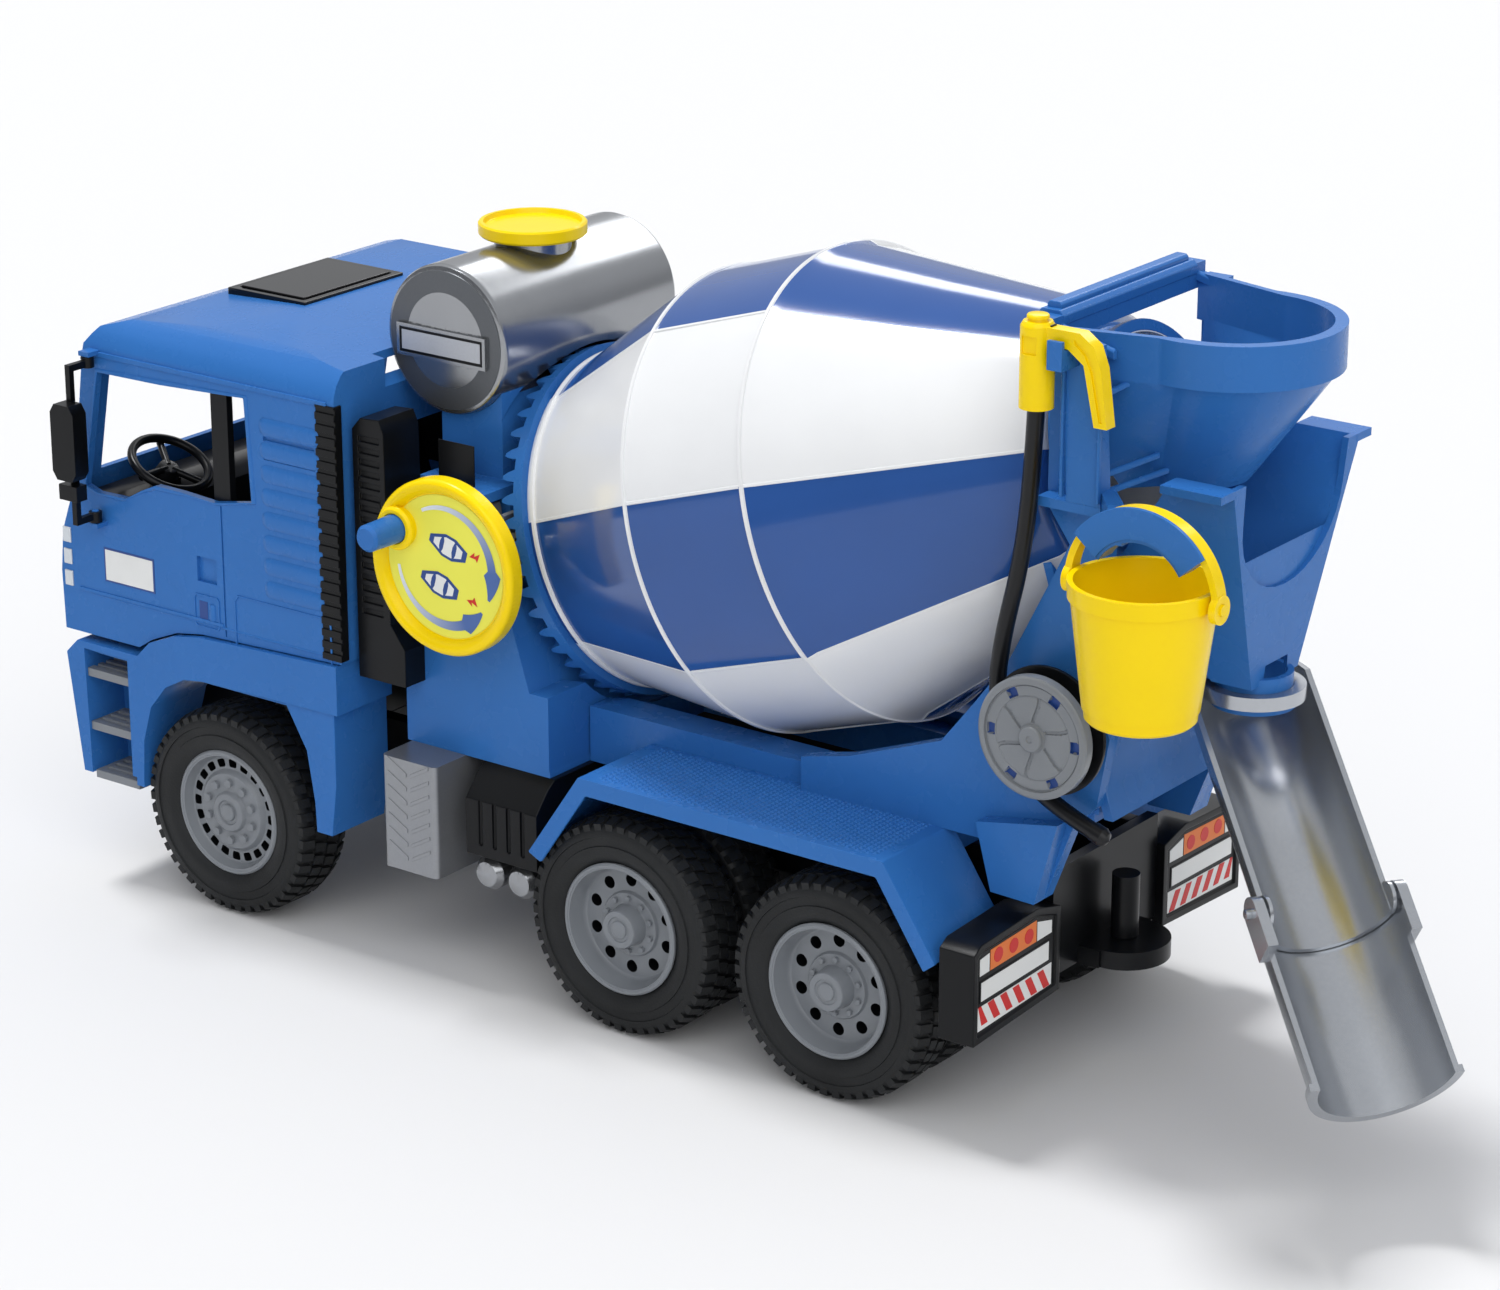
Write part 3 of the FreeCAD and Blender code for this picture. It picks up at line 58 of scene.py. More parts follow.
AXLES = {"rear": 0.0, "middle": 83.0, "front": 256.0}
TYRE_R, RIM_R = 37.5, 22.4
DRUM_TILT = math.radians(17.37)
DRUM_FOOT = at(150.0, 0, 143.37)
DRUM_DIR = Vector((-math.cos(DRUM_TILT), 0, math.sin(DRUM_TILT)))
DRUM_UP = Vector((math.sin(DRUM_TILT), 0, math.cos(DRUM_TILT)))
CRANK = (153.0, 148.2)
TANK = (178.1, 213.3)
REEL = (-66.9, 134.2)
CAB_SIDE, CAB_WALL = 78.0, 2.5


# ---------------------------------------------------------------------------
# materials
# ---------------------------------------------------------------------------
def new_material(name):
    material = bpy.data.materials.new(name)
    material.use_nodes = True
    return material, material.node_tree.nodes, material.node_tree.links


def add(nodes, kind, **values):
    """A node with the given properties and input values."""
    node = nodes.new(kind)
    for key, value in values.items():
        if hasattr(node, key):
            setattr(node, key, value)
        else:
            node.inputs[key.replace("_", " ")].default_value = value
    return node


def noise(nodes, links, coords, scale, detail=2.0):
    node = add(nodes, "ShaderNodeTexNoise", Scale=scale, Detail=detail)
    links.new(coords.outputs["Object"], node.inputs["Vector"])
    return node


def ranged(nodes, links, source, low, high):
    node = nodes.new("ShaderNodeMapRange")
    node.inputs["From Min"].default_value = 0.3
    node.inputs["From Max"].default_value = 0.7
    node.inputs["To Min"].default_value = low
    node.inputs["To Max"].default_value = high
    links.new(source, node.inputs["Value"])
    return node


def moulded_plastic(name, colour, rough=0.32, grain=0.25, spread=0.06, metallic=0.0, coat=0.0,
                    shine=0.3):
    """Injection-moulded plastic: faint flow marks, uneven gloss and a fine surface grain.

    spread is how far the flow marks lighten and darken the colour, shine is the mirror share.
    """
    material, nodes, links = new_material(name)
    shader = nodes["Principled BSDF"]
    shader.inputs["Metallic"].default_value = metallic
    shader.inputs["Coat Weight"].default_value = coat
    shader.inputs["Coat Roughness"].default_value = 0.08
    shader.inputs["Specular IOR Level"].default_value = shine
    coords = nodes.new("ShaderNodeTexCoord")
    flow = noise(nodes, links, coords, 28, 3)
    ramp = nodes.new("ShaderNodeValToRGB")
    ramp.color_ramp.elements[0].position = 0.3
    ramp.color_ramp.elements[1].position = 0.7
    ramp.color_ramp.elements[0].color = (*[c * (1 - spread) for c in colour], 1)
    ramp.color_ramp.elements[1].color = (*[min(c * (1 + spread), 1) for c in colour], 1)
    links.new(flow.outputs["Fac"], ramp.inputs["Fac"])
    links.new(ramp.outputs["Color"], shader.inputs["Base Color"])
    gloss = noise(nodes, links, coords, 90, 4)
    uneven = ranged(nodes, links, gloss.outputs["Fac"], rough * 0.93, rough * 1.07)
    links.new(uneven.outputs["Result"], shader.inputs["Roughness"])
    fine = noise(nodes, links, coords, 1400, 1)
    bump = add(nodes, "ShaderNodeBump", Strength=grain, Distance=0.00001)
    links.new(fine.outputs["Fac"], bump.inputs["Height"])
    links.new(bump.outputs["Normal"], shader.inputs["Normal"])
    return material


def flake_plastic(name, colour, rough=0.27, metallic=0.85):
    """Silver plastic with small metal flakes, seen as tiny light and dark specks."""
    material = moulded_plastic(name, colour, rough, 0.02, 0.03, metallic, shine=0.5)
    nodes, links = material.node_tree.nodes, material.node_tree.links
    shader = nodes["Principled BSDF"]
    coords = next(n for n in nodes if n.type == "TEX_COORD")
    ramp = next(n for n in nodes if n.type == "VALTORGB")
    cells = add(nodes, "ShaderNodeTexVoronoi", Scale=1500)
    links.new(coords.outputs["Object"], cells.inputs["Vector"])
    specks = nodes.new("ShaderNodeMapRange")
    specks.inputs["To Min"].default_value = 0.97
    specks.inputs["To Max"].default_value = 1.03
    links.new(cells.outputs["Color"], specks.inputs["Value"])
    mix = nodes.new("ShaderNodeMix")
    mix.data_type = "RGBA"
    mix.blend_type = "MULTIPLY"
    mix.inputs["Factor"].default_value = 1.0
    links.new(ramp.outputs["Color"], mix.inputs["A"])
    links.new(specks.outputs["Result"], mix.inputs["B"])
    links.new(mix.outputs["Result"], shader.inputs["Base Color"])
    return material


def tyre_rubber():
    """Matt dark rubber with a little dust in the colour and a rough, slightly uneven skin."""
    material = moulded_plastic("tyre_rubber", (0.010, 0.011, 0.012), 0.55, 0.5, 0.3)
    bump = next(n for n in material.node_tree.nodes if n.type == "BUMP")
    bump.inputs["Distance"].default_value = 0.00015
    return material


def arrow_paint():
    """Printed arrow that runs from white at its tail to navy at its head."""
    material, nodes, links = new_material("arrow_print")
    shader = nodes["Principled BSDF"]
    shader.inputs["Roughness"].default_value = 0.4
    share = nodes.new("ShaderNodeAttribute")
    share.attribute_name = "share"
    ramp = nodes.new("ShaderNodeValToRGB")
    ramp.color_ramp.elements[0].color = (0.75, 0.80, 0.85, 1)
    ramp.color_ramp.elements[1].color = (0.05, 0.12, 0.36, 1)
    ramp.color_ramp.elements[1].position = 0.8
    links.new(share.outputs["Fac"], ramp.inputs["Fac"])
    links.new(ramp.outputs["Color"], shader.inputs["Base Color"])
    return material


PAINT = {
    "blue": moulded_plastic("blue_plastic", (0.030, 0.150, 0.450), 0.27, 0.08, 0.02, shine=0.17),
    "drum_blue": moulded_plastic("drum_blue", (0.020, 0.080, 0.290), 0.12, 0.04, 0.04, coat=0.35),
    "drum_white": moulded_plastic("drum_white", (0.76, 0.77, 0.78), 0.15, 0.04, 0.02, coat=0.4),
    "silver": flake_plastic("silver_plastic", (0.45, 0.47, 0.50), 0.24),
    "tank": flake_plastic("tank_silver", (0.32, 0.33, 0.345), 0.22, 0.9),
    "box": flake_plastic("box_silver", (0.28, 0.29, 0.31), 0.36, 0.6),
    "grey": moulded_plastic("grey_plastic", (0.195, 0.210, 0.230), 0.30, 0.12, 0.05, coat=0.1),
    "yellow": moulded_plastic("yellow_plastic", (0.93, 0.66, 0.001), 0.24, 0.06, 0.02, shine=0.2),
    "black": moulded_plastic("black_plastic", (0.0045, 0.005, 0.006), 0.30, 0.12, 0.2, shine=0.2),
    "gloss_black": moulded_plastic("gloss_black", (0.0040, 0.0045, 0.005), 0.10, 0.04, 0.1,
                                   shine=0.35),
    "tyre": tyre_rubber(),
    "hose": moulded_plastic("hose_rubber", (0.006, 0.0065, 0.008), 0.30, 0.15, 0.2),
    "steel": moulded_plastic("steel", (0.55, 0.56, 0.58), 0.28, 0.15, 0.03, metallic=1.0),
    "sticker": moulded_plastic("sticker_yellow", (0.82, 0.80, 0.10), 0.40, 0.04, 0.03, shine=0.15),
    "navy": moulded_plastic("print_navy", (0.02, 0.06, 0.24), 0.4, 0.04, 0.05),
    "paper": moulded_plastic("print_white", (0.75, 0.76, 0.75), 0.38, 0.04, 0.03),
    "red": moulded_plastic("print_red", (0.60, 0.020, 0.018), 0.35, 0.04, 0.05),
    "amber": moulded_plastic("print_amber", (0.75, 0.18, 0.03), 0.35, 0.04, 0.05),
    "lens": moulded_plastic("lens_clear", (0.60, 0.64, 0.68), 0.12, 0.05, 0.04, metallic=0.4,
                            coat=0.6),
    # tank_end: the tank's silver darkened as painted shade for the tank's two end faces
    "tank_end": flake_plastic("tank_end_painted_shade", (0.115, 0.122, 0.132), 0.34, 0.7),
    "plate": flake_plastic("label_plate", (0.46, 0.48, 0.52), 0.35, 0.3),
    "arrow": arrow_paint(),
}


# ---------------------------------------------------------------------------
# making pieces
# ---------------------------------------------------------------------------
BEVEL_ANGLE, SHARP_ANGLE = math.radians(35), math.radians(50)
WELD_DISTANCE = 0.000005


def piece(name, bm, body, paint, bevel=0.0, printed=False):
    """A new object on a CAD body, made from the drawn faces.

    paint is one name, or several in the order of the faces' material numbers. A printed piece is
    thin or finely cut, and keeps its flat faces.
    """
    mesh = as_mesh(name, bm)
    obj = bpy.data.objects.new(name, mesh)
    bpy.context.scene.collection.objects.link(obj)
    names = [paint] if isinstance(paint, str) else paint
    for item in names:
        mesh.materials.append(PAINT[item])
    if not printed:
        soften(obj, bevel)
    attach(obj, body)
    return obj


def shade_group():
    """Geometry nodes that shade smoothly except over sharp edges."""
    group = bpy.data.node_groups.new("smooth_by_angle", "GeometryNodeTree")
    group.interface.new_socket("Geometry", in_out="INPUT", socket_type="NodeSocketGeometry")
    group.interface.new_socket("Geometry", in_out="OUTPUT", socket_type="NodeSocketGeometry")
    nodes, links = group.nodes, group.links
    start, end = nodes.new("NodeGroupInput"), nodes.new("NodeGroupOutput")
    faces, edges = nodes.new("GeometryNodeSetShadeSmooth"), nodes.new("GeometryNodeSetShadeSmooth")
    edges.domain = "EDGE"
    edges.inputs["Shade Smooth"].default_value = False
    turn = nodes.new("GeometryNodeInputMeshEdgeAngle")
    sharp = nodes.new("ShaderNodeMath")
    sharp.operation = "GREATER_THAN"
    sharp.inputs[1].default_value = SHARP_ANGLE
    links.new(start.outputs[0], faces.inputs["Geometry"])
    links.new(faces.outputs[0], edges.inputs["Geometry"])
    links.new(turn.outputs["Unsigned Angle"], sharp.inputs[0])
    links.new(sharp.outputs[0], edges.inputs["Selection"])
    links.new(edges.outputs[0], end.inputs[0])
    return group


SHADE = shade_group()


def soften(obj, bevel, weld=False):
    """Rounds the edges by bevel millimetres and shades the result like a moulding."""
    if weld:
        merge = obj.modifiers.new("merge", "WELD")
        merge.merge_threshold = WELD_DISTANCE
    if bevel:
        edge = obj.modifiers.new("edge", "BEVEL")
        edge.width = bevel * MM
        edge.segments = 2
        edge.limit_method = "ANGLE"
        edge.angle_limit = BEVEL_ANGLE
        edge.use_clamp_overlap = True
        edge.miter_outer = "MITER_ARC"
    shade = obj.modifiers.new("shade", "NODES")
    shade.node_group = SHADE
    even = obj.modifiers.new("even", "WEIGHTED_NORMAL")
    even.keep_sharp = True


def as_mesh(name, bm):
    bmesh.ops.recalc_face_normals(bm, faces=bm.faces)
    mesh = bpy.data.meshes.new(name)
    bm.to_mesh(mesh)
    bm.free()
    return mesh


def turned(bm, outline, foot, axis, up, segments, paint=None, closed=True):
    """Revolves (distance along, radius) points, in millimetres, into a ring of quads."""
    side = axis.cross(up)
    rings = []
    for along, radius in outline:
        centre = foot + axis * (along * MM)
        if radius < 1e-6:
            rings.append([bm.verts.new(centre)] * segments)
            continue
        rings.append([bm.verts.new(centre + (up * math.cos(a) + side * math.sin(a)) * (radius * MM))
                      for a in (TURN * k / segments for k in range(segments))])
    spans = len(outline) if closed else len(outline) - 1
    for i in range(spans):
        low, high = rings[i], rings[(i + 1) % len(outline)]
        for k in range(segments):
            j = (k + 1) % segments
            corners = []
            for vert in (low[k], low[j], high[j], high[k]):
                if vert not in corners:
                    corners.append(vert)
            if len(corners) > 2:
                made = bm.faces.new(corners)
                if paint:
                    made.material_index = paint(i, k)


def prism(bm, outline, depth, number=0):
    """Closes a flat outline of points and pushes it out by the vector depth."""
    low = [bm.verts.new(p) for p in outline]
    high = [bm.verts.new(p + depth) for p in outline]
    made = [bm.faces.new(low[::-1]), bm.faces.new(high)]
    for k in range(len(low)):
        j = (k + 1) % len(low)
        made.append(bm.faces.new((low[k], low[j], high[j], high[k])))
    for item in made:
        item.material_index = number


def block(bm, low, high, number=0):
    """Box between two corners given in millimetres from the rear axle."""
    (x0, y0, z0), (x1, y1, z1) = low, high
    outline = [at(x0, y0, z0), at(x1, y0, z0), at(x1, y1, z0), at(x0, y1, z0)]
    prism(bm, outline, Z * ((z1 - z0) * MM), number)


def closed_strip(bm, rows):
    """Joins rows of four points each to the next row, and the last one to the first."""
    for k in range(len(rows)):
        low, high = rows[k], rows[(k + 1) % len(rows)]
        for j in range(4):
            bm.faces.new((low[j], low[(j + 1) % 4], high[(j + 1) % 4], high[j]))


def away_from_middle(outline):
    """Each (x, z) point of an outline, with the direction away from the outline's middle."""
    u, v = sum(p[0] for p in outline) / len(outline), sum(p[1] for p in outline) / len(outline)
    return [(x, z, Vector((x - u, z - v)).normalized()) for x, z in outline]


def both_sides(bm):
    """Adds the mirror image in Y of everything drawn so far."""
    copied = bmesh.ops.duplicate(bm, geom=bm.verts[:] + bm.edges[:] + bm.faces[:])
    verts = [g for g in copied["geom"] if isinstance(g, bmesh.types.BMVert)]
    bmesh.ops.scale(bm, vec=(1, -1, 1), verts=verts)


def arc_points(centre, u, v, radius, start, end, count):
    """Points on an arc; angles in degrees from u towards v, radius in millimetres."""
    angles = [math.radians(start + (end - start) * k / (count - 1)) for k in range(count)]
    return [centre + (u * math.cos(a) + v * math.sin(a)) * (radius * MM) for a in angles]


# ---------------------------------------------------------------------------
# carried-over CAD nodes: material and rounding of each
# ---------------------------------------------------------------------------
FINISH = {
    "blue": {"front_fenders": 0.5, "tank_tower": 0.6, "subframe": 0.5, "rear_fenders": 0.5,
             "rear_stand": 0.5, "gun_post": 0.4, "hopper": 0.5, "trough": 0.5, "cab_shell": 0.5,
             "ring_gear": 0.15, "front_mudguards": 0.3, "crank_knob": 0.4},
    "silver": {"chute_upper": 0.25, "chute_extension": 0.25},
    "tank": {"tank_half_left": 0.3, "tank_half_right": 0.3, "air_tanks": 0.3},
    "box": {"side_boxes": 0.5},
    "grey": {"step_treads": 0.3, "roller_left": 0.2, "roller_right": 0.2, "crank_pinion": 0.1},
    "yellow": {"tank_cap": 0.35, "crank_wheel": 0.4, "spray_gun": 0.4, "bucket": 0.3,
               "bucket_bail": 0.5},
    "black": {"chassis_frame": 0.4, "engine_block": 0.4, "air_intake": 0.3, "battery_boxes": 0.4,
              "lamp_boards": 0.4, "tow_coupling": 0.4, "tow_pin": 0.5, "cab_interior": 0.5,
              "steering_wheel": 0.2, "grille": 0.3, "corner_strips": 0.25, "mirror_left": 0.4,
              "mirror_right": 0.4, "reel_flange": 0.2},
    "steel": {"front_axle": 0.2, "middle_axle": 0.2, "rear_axle": 0.2, "cab_hinge_pin": 0.2,
              "crank_shaft": 0.2},
    "drum_white": {"drum_fins": 0.2},
    "gloss_black": {"roof_hatch": 0.5},
}


def finish_cad_nodes():
    """Gives each carried-over node its plastic and its rounded edges."""
    for paint, nodes in FINISH.items():
        for node, bevel in nodes.items():
            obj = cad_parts[node]
            obj.data.materials.clear()
            obj.data.materials.append(PAINT[paint])
            normals = obj.data.attributes.get("custom_normal")
            if normals:
                obj.data.attributes.remove(normals)
            soften(obj, bevel, weld=True)


# ---------------------------------------------------------------------------
# wheels
# ---------------------------------------------------------------------------
TWIN_SPANS = [(34.0, 54.0), (57.0, 78.0)]
TYRE_SPANS = {"front": [(56.0, 79.0)], "middle": TWIN_SPANS, "rear": TWIN_SPANS}
TREAD_BASE_R = 36.2
LUGS = 46
# one sidewall, from the bead to the tread: (distance in from the tyre's side, radius)
SIDEWALL = [(2.2, RIM_R - 0.3), (1.0, RIM_R + 1.2), (0.2, 25.5), (0, 27.0), (0, 28.4), (0.45, 28.6),
            (0.45, 31.4), (0, 31.6), (0.1, 33.0), (0.9, 34.6), (2.2, 35.6), (4.2, TREAD_BASE_R)]


def tyre_carcass(bm, hub, y0, y1):
    """Sidewalls with two raised rings, round shoulders and the tread's base."""
    outline = [(y0 + inset, r) for inset, r in SIDEWALL]
    outline += [(y1 - inset, r) for inset, r in reversed(SIDEWALL)]
    turned(bm, outline, hub, Y, Z, 120)


def lug(bm, hub, angle, width, y0, y1, low0, low1, lean):
    """One tread block; low0 and low1 are how far its two ends sit below the running surface."""
    corners = []
    for y, drop, shift in ((y0, low0, -lean), (y1, low1, lean)):
        for side in (-0.5, 0.5):
            a = angle + (side * width + shift) / TYRE_R
            out = Z * math.cos(a) + X * math.sin(a)
            corners.append([hub + Y * (y * MM) + out * (r * MM)
                            for r in (TREAD_BASE_R - 0.9 - drop, TYRE_R - drop)])
    verts = [[bm.verts.new(p) for p in pair] for pair in corners]
    (a0, a1), (b0, b1), (c0, c1), (d0, d1) = verts
    for loop in ((a0, b0, d0, c0), (a1, c1, d1, b1), (a0, a1, b1, b0), (c0, d0, d1, c1),
                 (a0, c0, c1, a1), (b0, b1, d1, d0)):
        bm.faces.new(loop)


def tyre_tread(bm, hub, y0, y1):
    """Zigzag blocks: two rows in the middle and a row of lugs over each shoulder."""
    pitch = TURN / LUGS
    middle = (y0 + y1) / 2
    half = (y1 - y0) / 2
    for k in range(LUGS):
        a = pitch * k
        for sign in (-1, 1):
            edge, inner = middle + sign * (half - 0.5), middle + sign * (half - 5.0)
            lug(bm, hub, a + (0.5 + sign * 0.25) * pitch, 3.1, inner, edge, 0.0, 1.5, 0.2)
            lug(bm, hub, a + sign * 0.25 * pitch, 3.5, middle + sign * 0.5, inner - sign * 0.9,
                0.0, 0.0, sign * 0.7)


def make_tyres():
    """One mesh a wheel set: single tyres in front, twins on the other two."""
    for axle, x in AXLES.items():
        bm = bmesh.new()
        for y0, y1 in TYRE_SPANS[axle]:
            hub = at(x, 0, TYRE_R)
            tyre_carcass(bm, hub, y0, y1)
            tyre_tread(bm, hub, y0, y1)
        both_sides(bm)
        tyre = piece(axle + "_tyre_pair", bm, axle + "_wheels", "tyre")
        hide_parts(axle + "_tyres")


def hexagon(bm, centre, axis, up, radius, height):
    outline = arc_points(centre, up, axis.cross(up), radius, 0, 300, 6)
    prism(bm, outline, axis * (height * MM))


def pierced_disc(bm, hub, y, low, high, count, pitch, half, power, depth):
    """Flat ring from radius low to high with count recesses, their walls and floors painted black as
    painted shade for the holes.

    pitch is the radius on which the recesses lie, half a recess's half sizes along and across the
    ring, and power its roundness: 2 is round, more is nearer to a rectangle.
    """
    width, height = TURN * pitch / count / 2, (high - low) / 2
    middle = (high + low) / 2
    corner = math.atan2(height, width)
    turns = [TURN * k / 28 for k in range(28)]
    turns += [corner, math.pi - corner, math.pi + corner, TURN - corner]
    turns.sort()
    for k in range(count):
        face_loop, hole_loop, floor_loop = [], [], []
        for t in turns:
            c, d = math.cos(t), math.sin(t)
            reach = min(width / max(abs(c), 1e-9), height / max(abs(d), 1e-9))
            span = (abs(c / half[0]) ** power + abs(d / half[1]) ** power) ** (-1 / power)
            for loop, far, centre, sunk in ((face_loop, reach, middle, 0),
                                            (hole_loop, span, pitch, 0),
                                            (floor_loop, span * 0.9, pitch, depth)):
                a = TURN * k / count + c * far / pitch
                out = Z * math.cos(a) + X * math.sin(a)
                place = hub + Y * ((y - sunk) * MM) + out * ((centre + d * far) * MM)
                loop.append(bm.verts.new(place))
        for j in range(len(turns)):
            n = (j + 1) % len(turns)
            bm.faces.new((face_loop[j], face_loop[n], hole_loop[n], hole_loop[j]))
            wall = bm.faces.new((hole_loop[j], hole_loop[n], floor_loop[n], floor_loop[j]))
            # each recess's wall and floor take the second paint, black: painted shade in the hole
            wall.material_index = 1
        bm.faces.new(floor_loop).material_index = 1


# Outlines of (distance from the truck's middle, radius): the bead, the dish with the hub, and the
# inner side. The pierced ring fills the gap between the first two.
FRONT_RIM = (
    [(77.5, 22.4), (77.9, 21.8), (77.6, 20.6), (74.6, 19.6), (74.1, 19.0)],
    [(74.1, 15.0), (74.4, 14.6), (75.7, 13.8), (75.9, 13.4), (75.9, 7.6), (76.2, 7.2),
     (77.4, 6.9), (77.7, 6.4), (77.7, 4.6), (77.1, 4.2), (77.1, 0)],
    [(77.5, 22.4), (57.5, 22.4), (58.0, 19.9), (70.0, 19.0), (70.3, 8.0), (60.0, 7.0), (60.0, 3.2)],
)
TWIN_RIM = (
    [(77.4, 22.4), (77.9, 21.8), (77.5, 20.7), (72.2, 19.5), (71.0, 18.9), (70.8, 18.4)],
    [(70.8, 11.4), (71.0, 11.1), (71.9, 10.9), (72.1, 10.6), (72.1, 7.4), (72.4, 7.0),
     (77.3, 6.7), (78.0, 6.2), (78.0, 4.4), (77.5, 4.1), (77.5, 0)],
    [(77.4, 22.4), (34.0, 22.4), (34.0, 19.9), (62.0, 18.4), (62.5, 8.0), (36.0, 7.0), (36.0, 3.2)],
)


def make_rims():
    """Front rims with twenty slots and twin rims with ten round holes, black inside as painted shade.
    """
    for axle, x in AXLES.items():
        hub = at(x, 0, TYRE_R)
        bm = bmesh.new()
        for outline in FRONT_RIM if axle == "front" else TWIN_RIM:
            turned(bm, outline, hub, Y, Z, 96, closed=False)
        if axle == "front":
            pierced_disc(bm, hub, 74.1, 14.95, 19.05, 20, 17.2, (1.75, 1.5), 5, 2.6)
        else:
            pierced_disc(bm, hub, 70.8, 11.35, 18.45, 10, 15.2, (2.15, 2.15), 2, 4.0)
        both_sides(bm)
        rims = piece(axle + "_rim_pair", bm, axle + "_wheels", ("grey", "black"))
        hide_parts(axle + "_rims")


NUTS = 10
# radius of the ring of nuts, where they stand, and a nut's radius and height
FRONT_NUTS, TWIN_NUTS = (10.6, 75.6, 1.6, 1.7), (9.2, 71.8, 1.05, 1.5)


def wheel_nuts():
    """Rings of nuts, the stepped hub caps and the rims' rounded beads."""
    for axle, x in AXLES.items():
        bm = bmesh.new()
        pitch, face, radius, height = FRONT_NUTS if axle == "front" else TWIN_NUTS
        for k in range(NUTS):
            a = TURN * (k + 0.5) / NUTS
            centre = at(x + pitch * math.cos(a), face, TYRE_R + pitch * math.sin(a))
            hexagon(bm, centre, Y, Z, radius, height)
        cap = [(76.8, 0), (76.8, 3.2), (78.0, 3.0), (78.3, 2.4), (78.3, 0)]
        turned(bm, cap, at(x, 0, TYRE_R), Y, Z, 32, closed=False)
        bead = [(76.4, RIM_R - 1.4), (77.9, RIM_R - 1.2), (78.1, RIM_R - 0.4),
                (77.4, RIM_R + 0.3), (76.4, RIM_R + 0.2)]
        turned(bm, bead, at(x, 0, TYRE_R), Y, Z, 96)
        both_sides(bm)
        piece(axle + "_wheel_nuts", bm, axle + "_wheels", "grey", 0.15)


# ---------------------------------------------------------------------------
# drum
# ---------------------------------------------------------------------------
SECTORS, SECTOR_START = 8, math.radians(-32.5)
DRUM_SEGMENTS = 160


def drum_paint(i, k):
    """Blue and white sectors in turn round the drum."""
    return 1 - (k * SECTORS // DRUM_SEGMENTS) % 2


def drum_axes():
    """Direction of the first sector's edge, turned from the left side towards the top."""
    return Y * math.cos(SECTOR_START) + DRUM_UP * math.sin(SECTOR_START)


def drum_shell(name, node, outline, inner):
    bm = bmesh.new()
    start = drum_axes()
    last_outer = len(outline) - 1
    whole = outline + inner
    turned(bm, whole, DRUM_FOOT, DRUM_DIR, start, DRUM_SEGMENTS,
           lambda i, k: drum_paint(i, k) if i < last_outer else 1)
    shell = piece(name, bm, "drum", ("drum_blue", "drum_white"))
    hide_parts(node)


def cone_radius(s):
    return 75.3 + (s - 130.0) / (213.0 - 130.0) * (44.9 - 75.3)


def drum_ribs():
    """Fine white ribs along the sector edges and round the two joints of the drum."""
    bm = bmesh.new()
    line = [(20.5, 57.7), (22, 57.1), (76.5, 76.8), (78, 77.2), (124.8, 76.9), (127, 77.2),
            (130, 75.1), (171, cone_radius(171) - 0.1), (212.4, 44.9)]
    start = drum_axes()
    side = DRUM_DIR.cross(start)
    for k in range(SECTORS):
        a = TURN * k / SECTORS
        out = start * math.cos(a) + side * math.sin(a)
        across = DRUM_DIR.cross(out)
        rows = []
        for s, r in line:
            spine = DRUM_FOOT + DRUM_DIR * (s * MM)
            rows.append([bm.verts.new(spine + out * ((r + h) * MM) + across * (w * MM))
                         for w, h in ((-0.75, -0.5), (-0.45, 0.4), (0.45, 0.4), (0.75, -0.5))])
        for low, high in zip(rows, rows[1:]):
            for j in range(4):
                bm.faces.new((low[j], low[(j + 1) % 4], high[(j + 1) % 4], high[j]))
        bm.faces.new(rows[0])
        bm.faces.new(rows[-1])
    for s, r, half in ((21.0, 57.2, 1.2), (78.0, 77.0, 1.1), (126.0, 77.2, 1.2)):
        ring = [(s - half, r - 0.4), (s - half * 0.5, r + 0.8),
                (s + half * 0.5, r + 0.8), (s + half, r - 0.4)]
        turned(bm, ring, DRUM_FOOT, DRUM_DIR, start, DRUM_SEGMENTS)
    piece("drum_ribs", bm, "drum", "drum_white", 0.1)


def make_drum():
    drum_shell("drum_front", "drum_front_shell",
               [(18.5, 0), (18.5, 57.1), (20.5, 57.9), (22, 57.3), (76.5, 77.0), (78, 77.4),
                (79.5, 77.1), (102, 77.05), (124.8, 77.0)],
               [(124.8, 75.0), (78, 75.2), (22, 55.2), (20.5, 54), (20.5, 0)])
    drum_shell("drum_rear", "drum_rear_shell",
               [(124.8, 77.4), (127, 77.4), (130, 75.3), (171, cone_radius(171)),
                (210.5, cone_radius(210.5)), (212.6, 44.4), (213.4, 42.6), (214, 36.4), (216, 36.0),
                (226, 36), (226.2, 36.9), (228, 36.9)],
               [(228, 34), (212, 34), (211, 43), (130, 73.3), (124.8, 75.0)])
    drum_ribs()
    bm = bmesh.new()
    ring = [(214.6, 36.0), (214.6, 38.4), (217.4, 38.4), (218.2, 37.0), (224.6, 37.0),
            (225.4, 38.0), (228.2, 38.0), (228.2, 34.4), (226.6, 34.0), (226.6, 36.0)]
    turned(bm, ring, DRUM_FOOT, DRUM_DIR, DRUM_UP, 120)
    piece("drum_mouth_ring", bm, "drum", "blue", 0.3)


# ---------------------------------------------------------------------------
# crank wheel: printed disc with arrows and small drums
# ---------------------------------------------------------------------------
FACE_Y = 78.0
DISC_TOP, ARROW_TOP = 0.25, 0.4
ARROW_STEPS, ARROW_HEAD = 28, 0.80
# where the two small drums are printed, and how far they lean
DRUM_PRINTS, DRUM_LEAN = ((1.5, 7.0), (-2.5, -6.5)), -16


def on_crank(across, up, y):
    """Place on the hand wheel: across is positive towards the rear, as seen from the left."""
    return at(CRANK[0] - across, y, CRANK[1] + up)


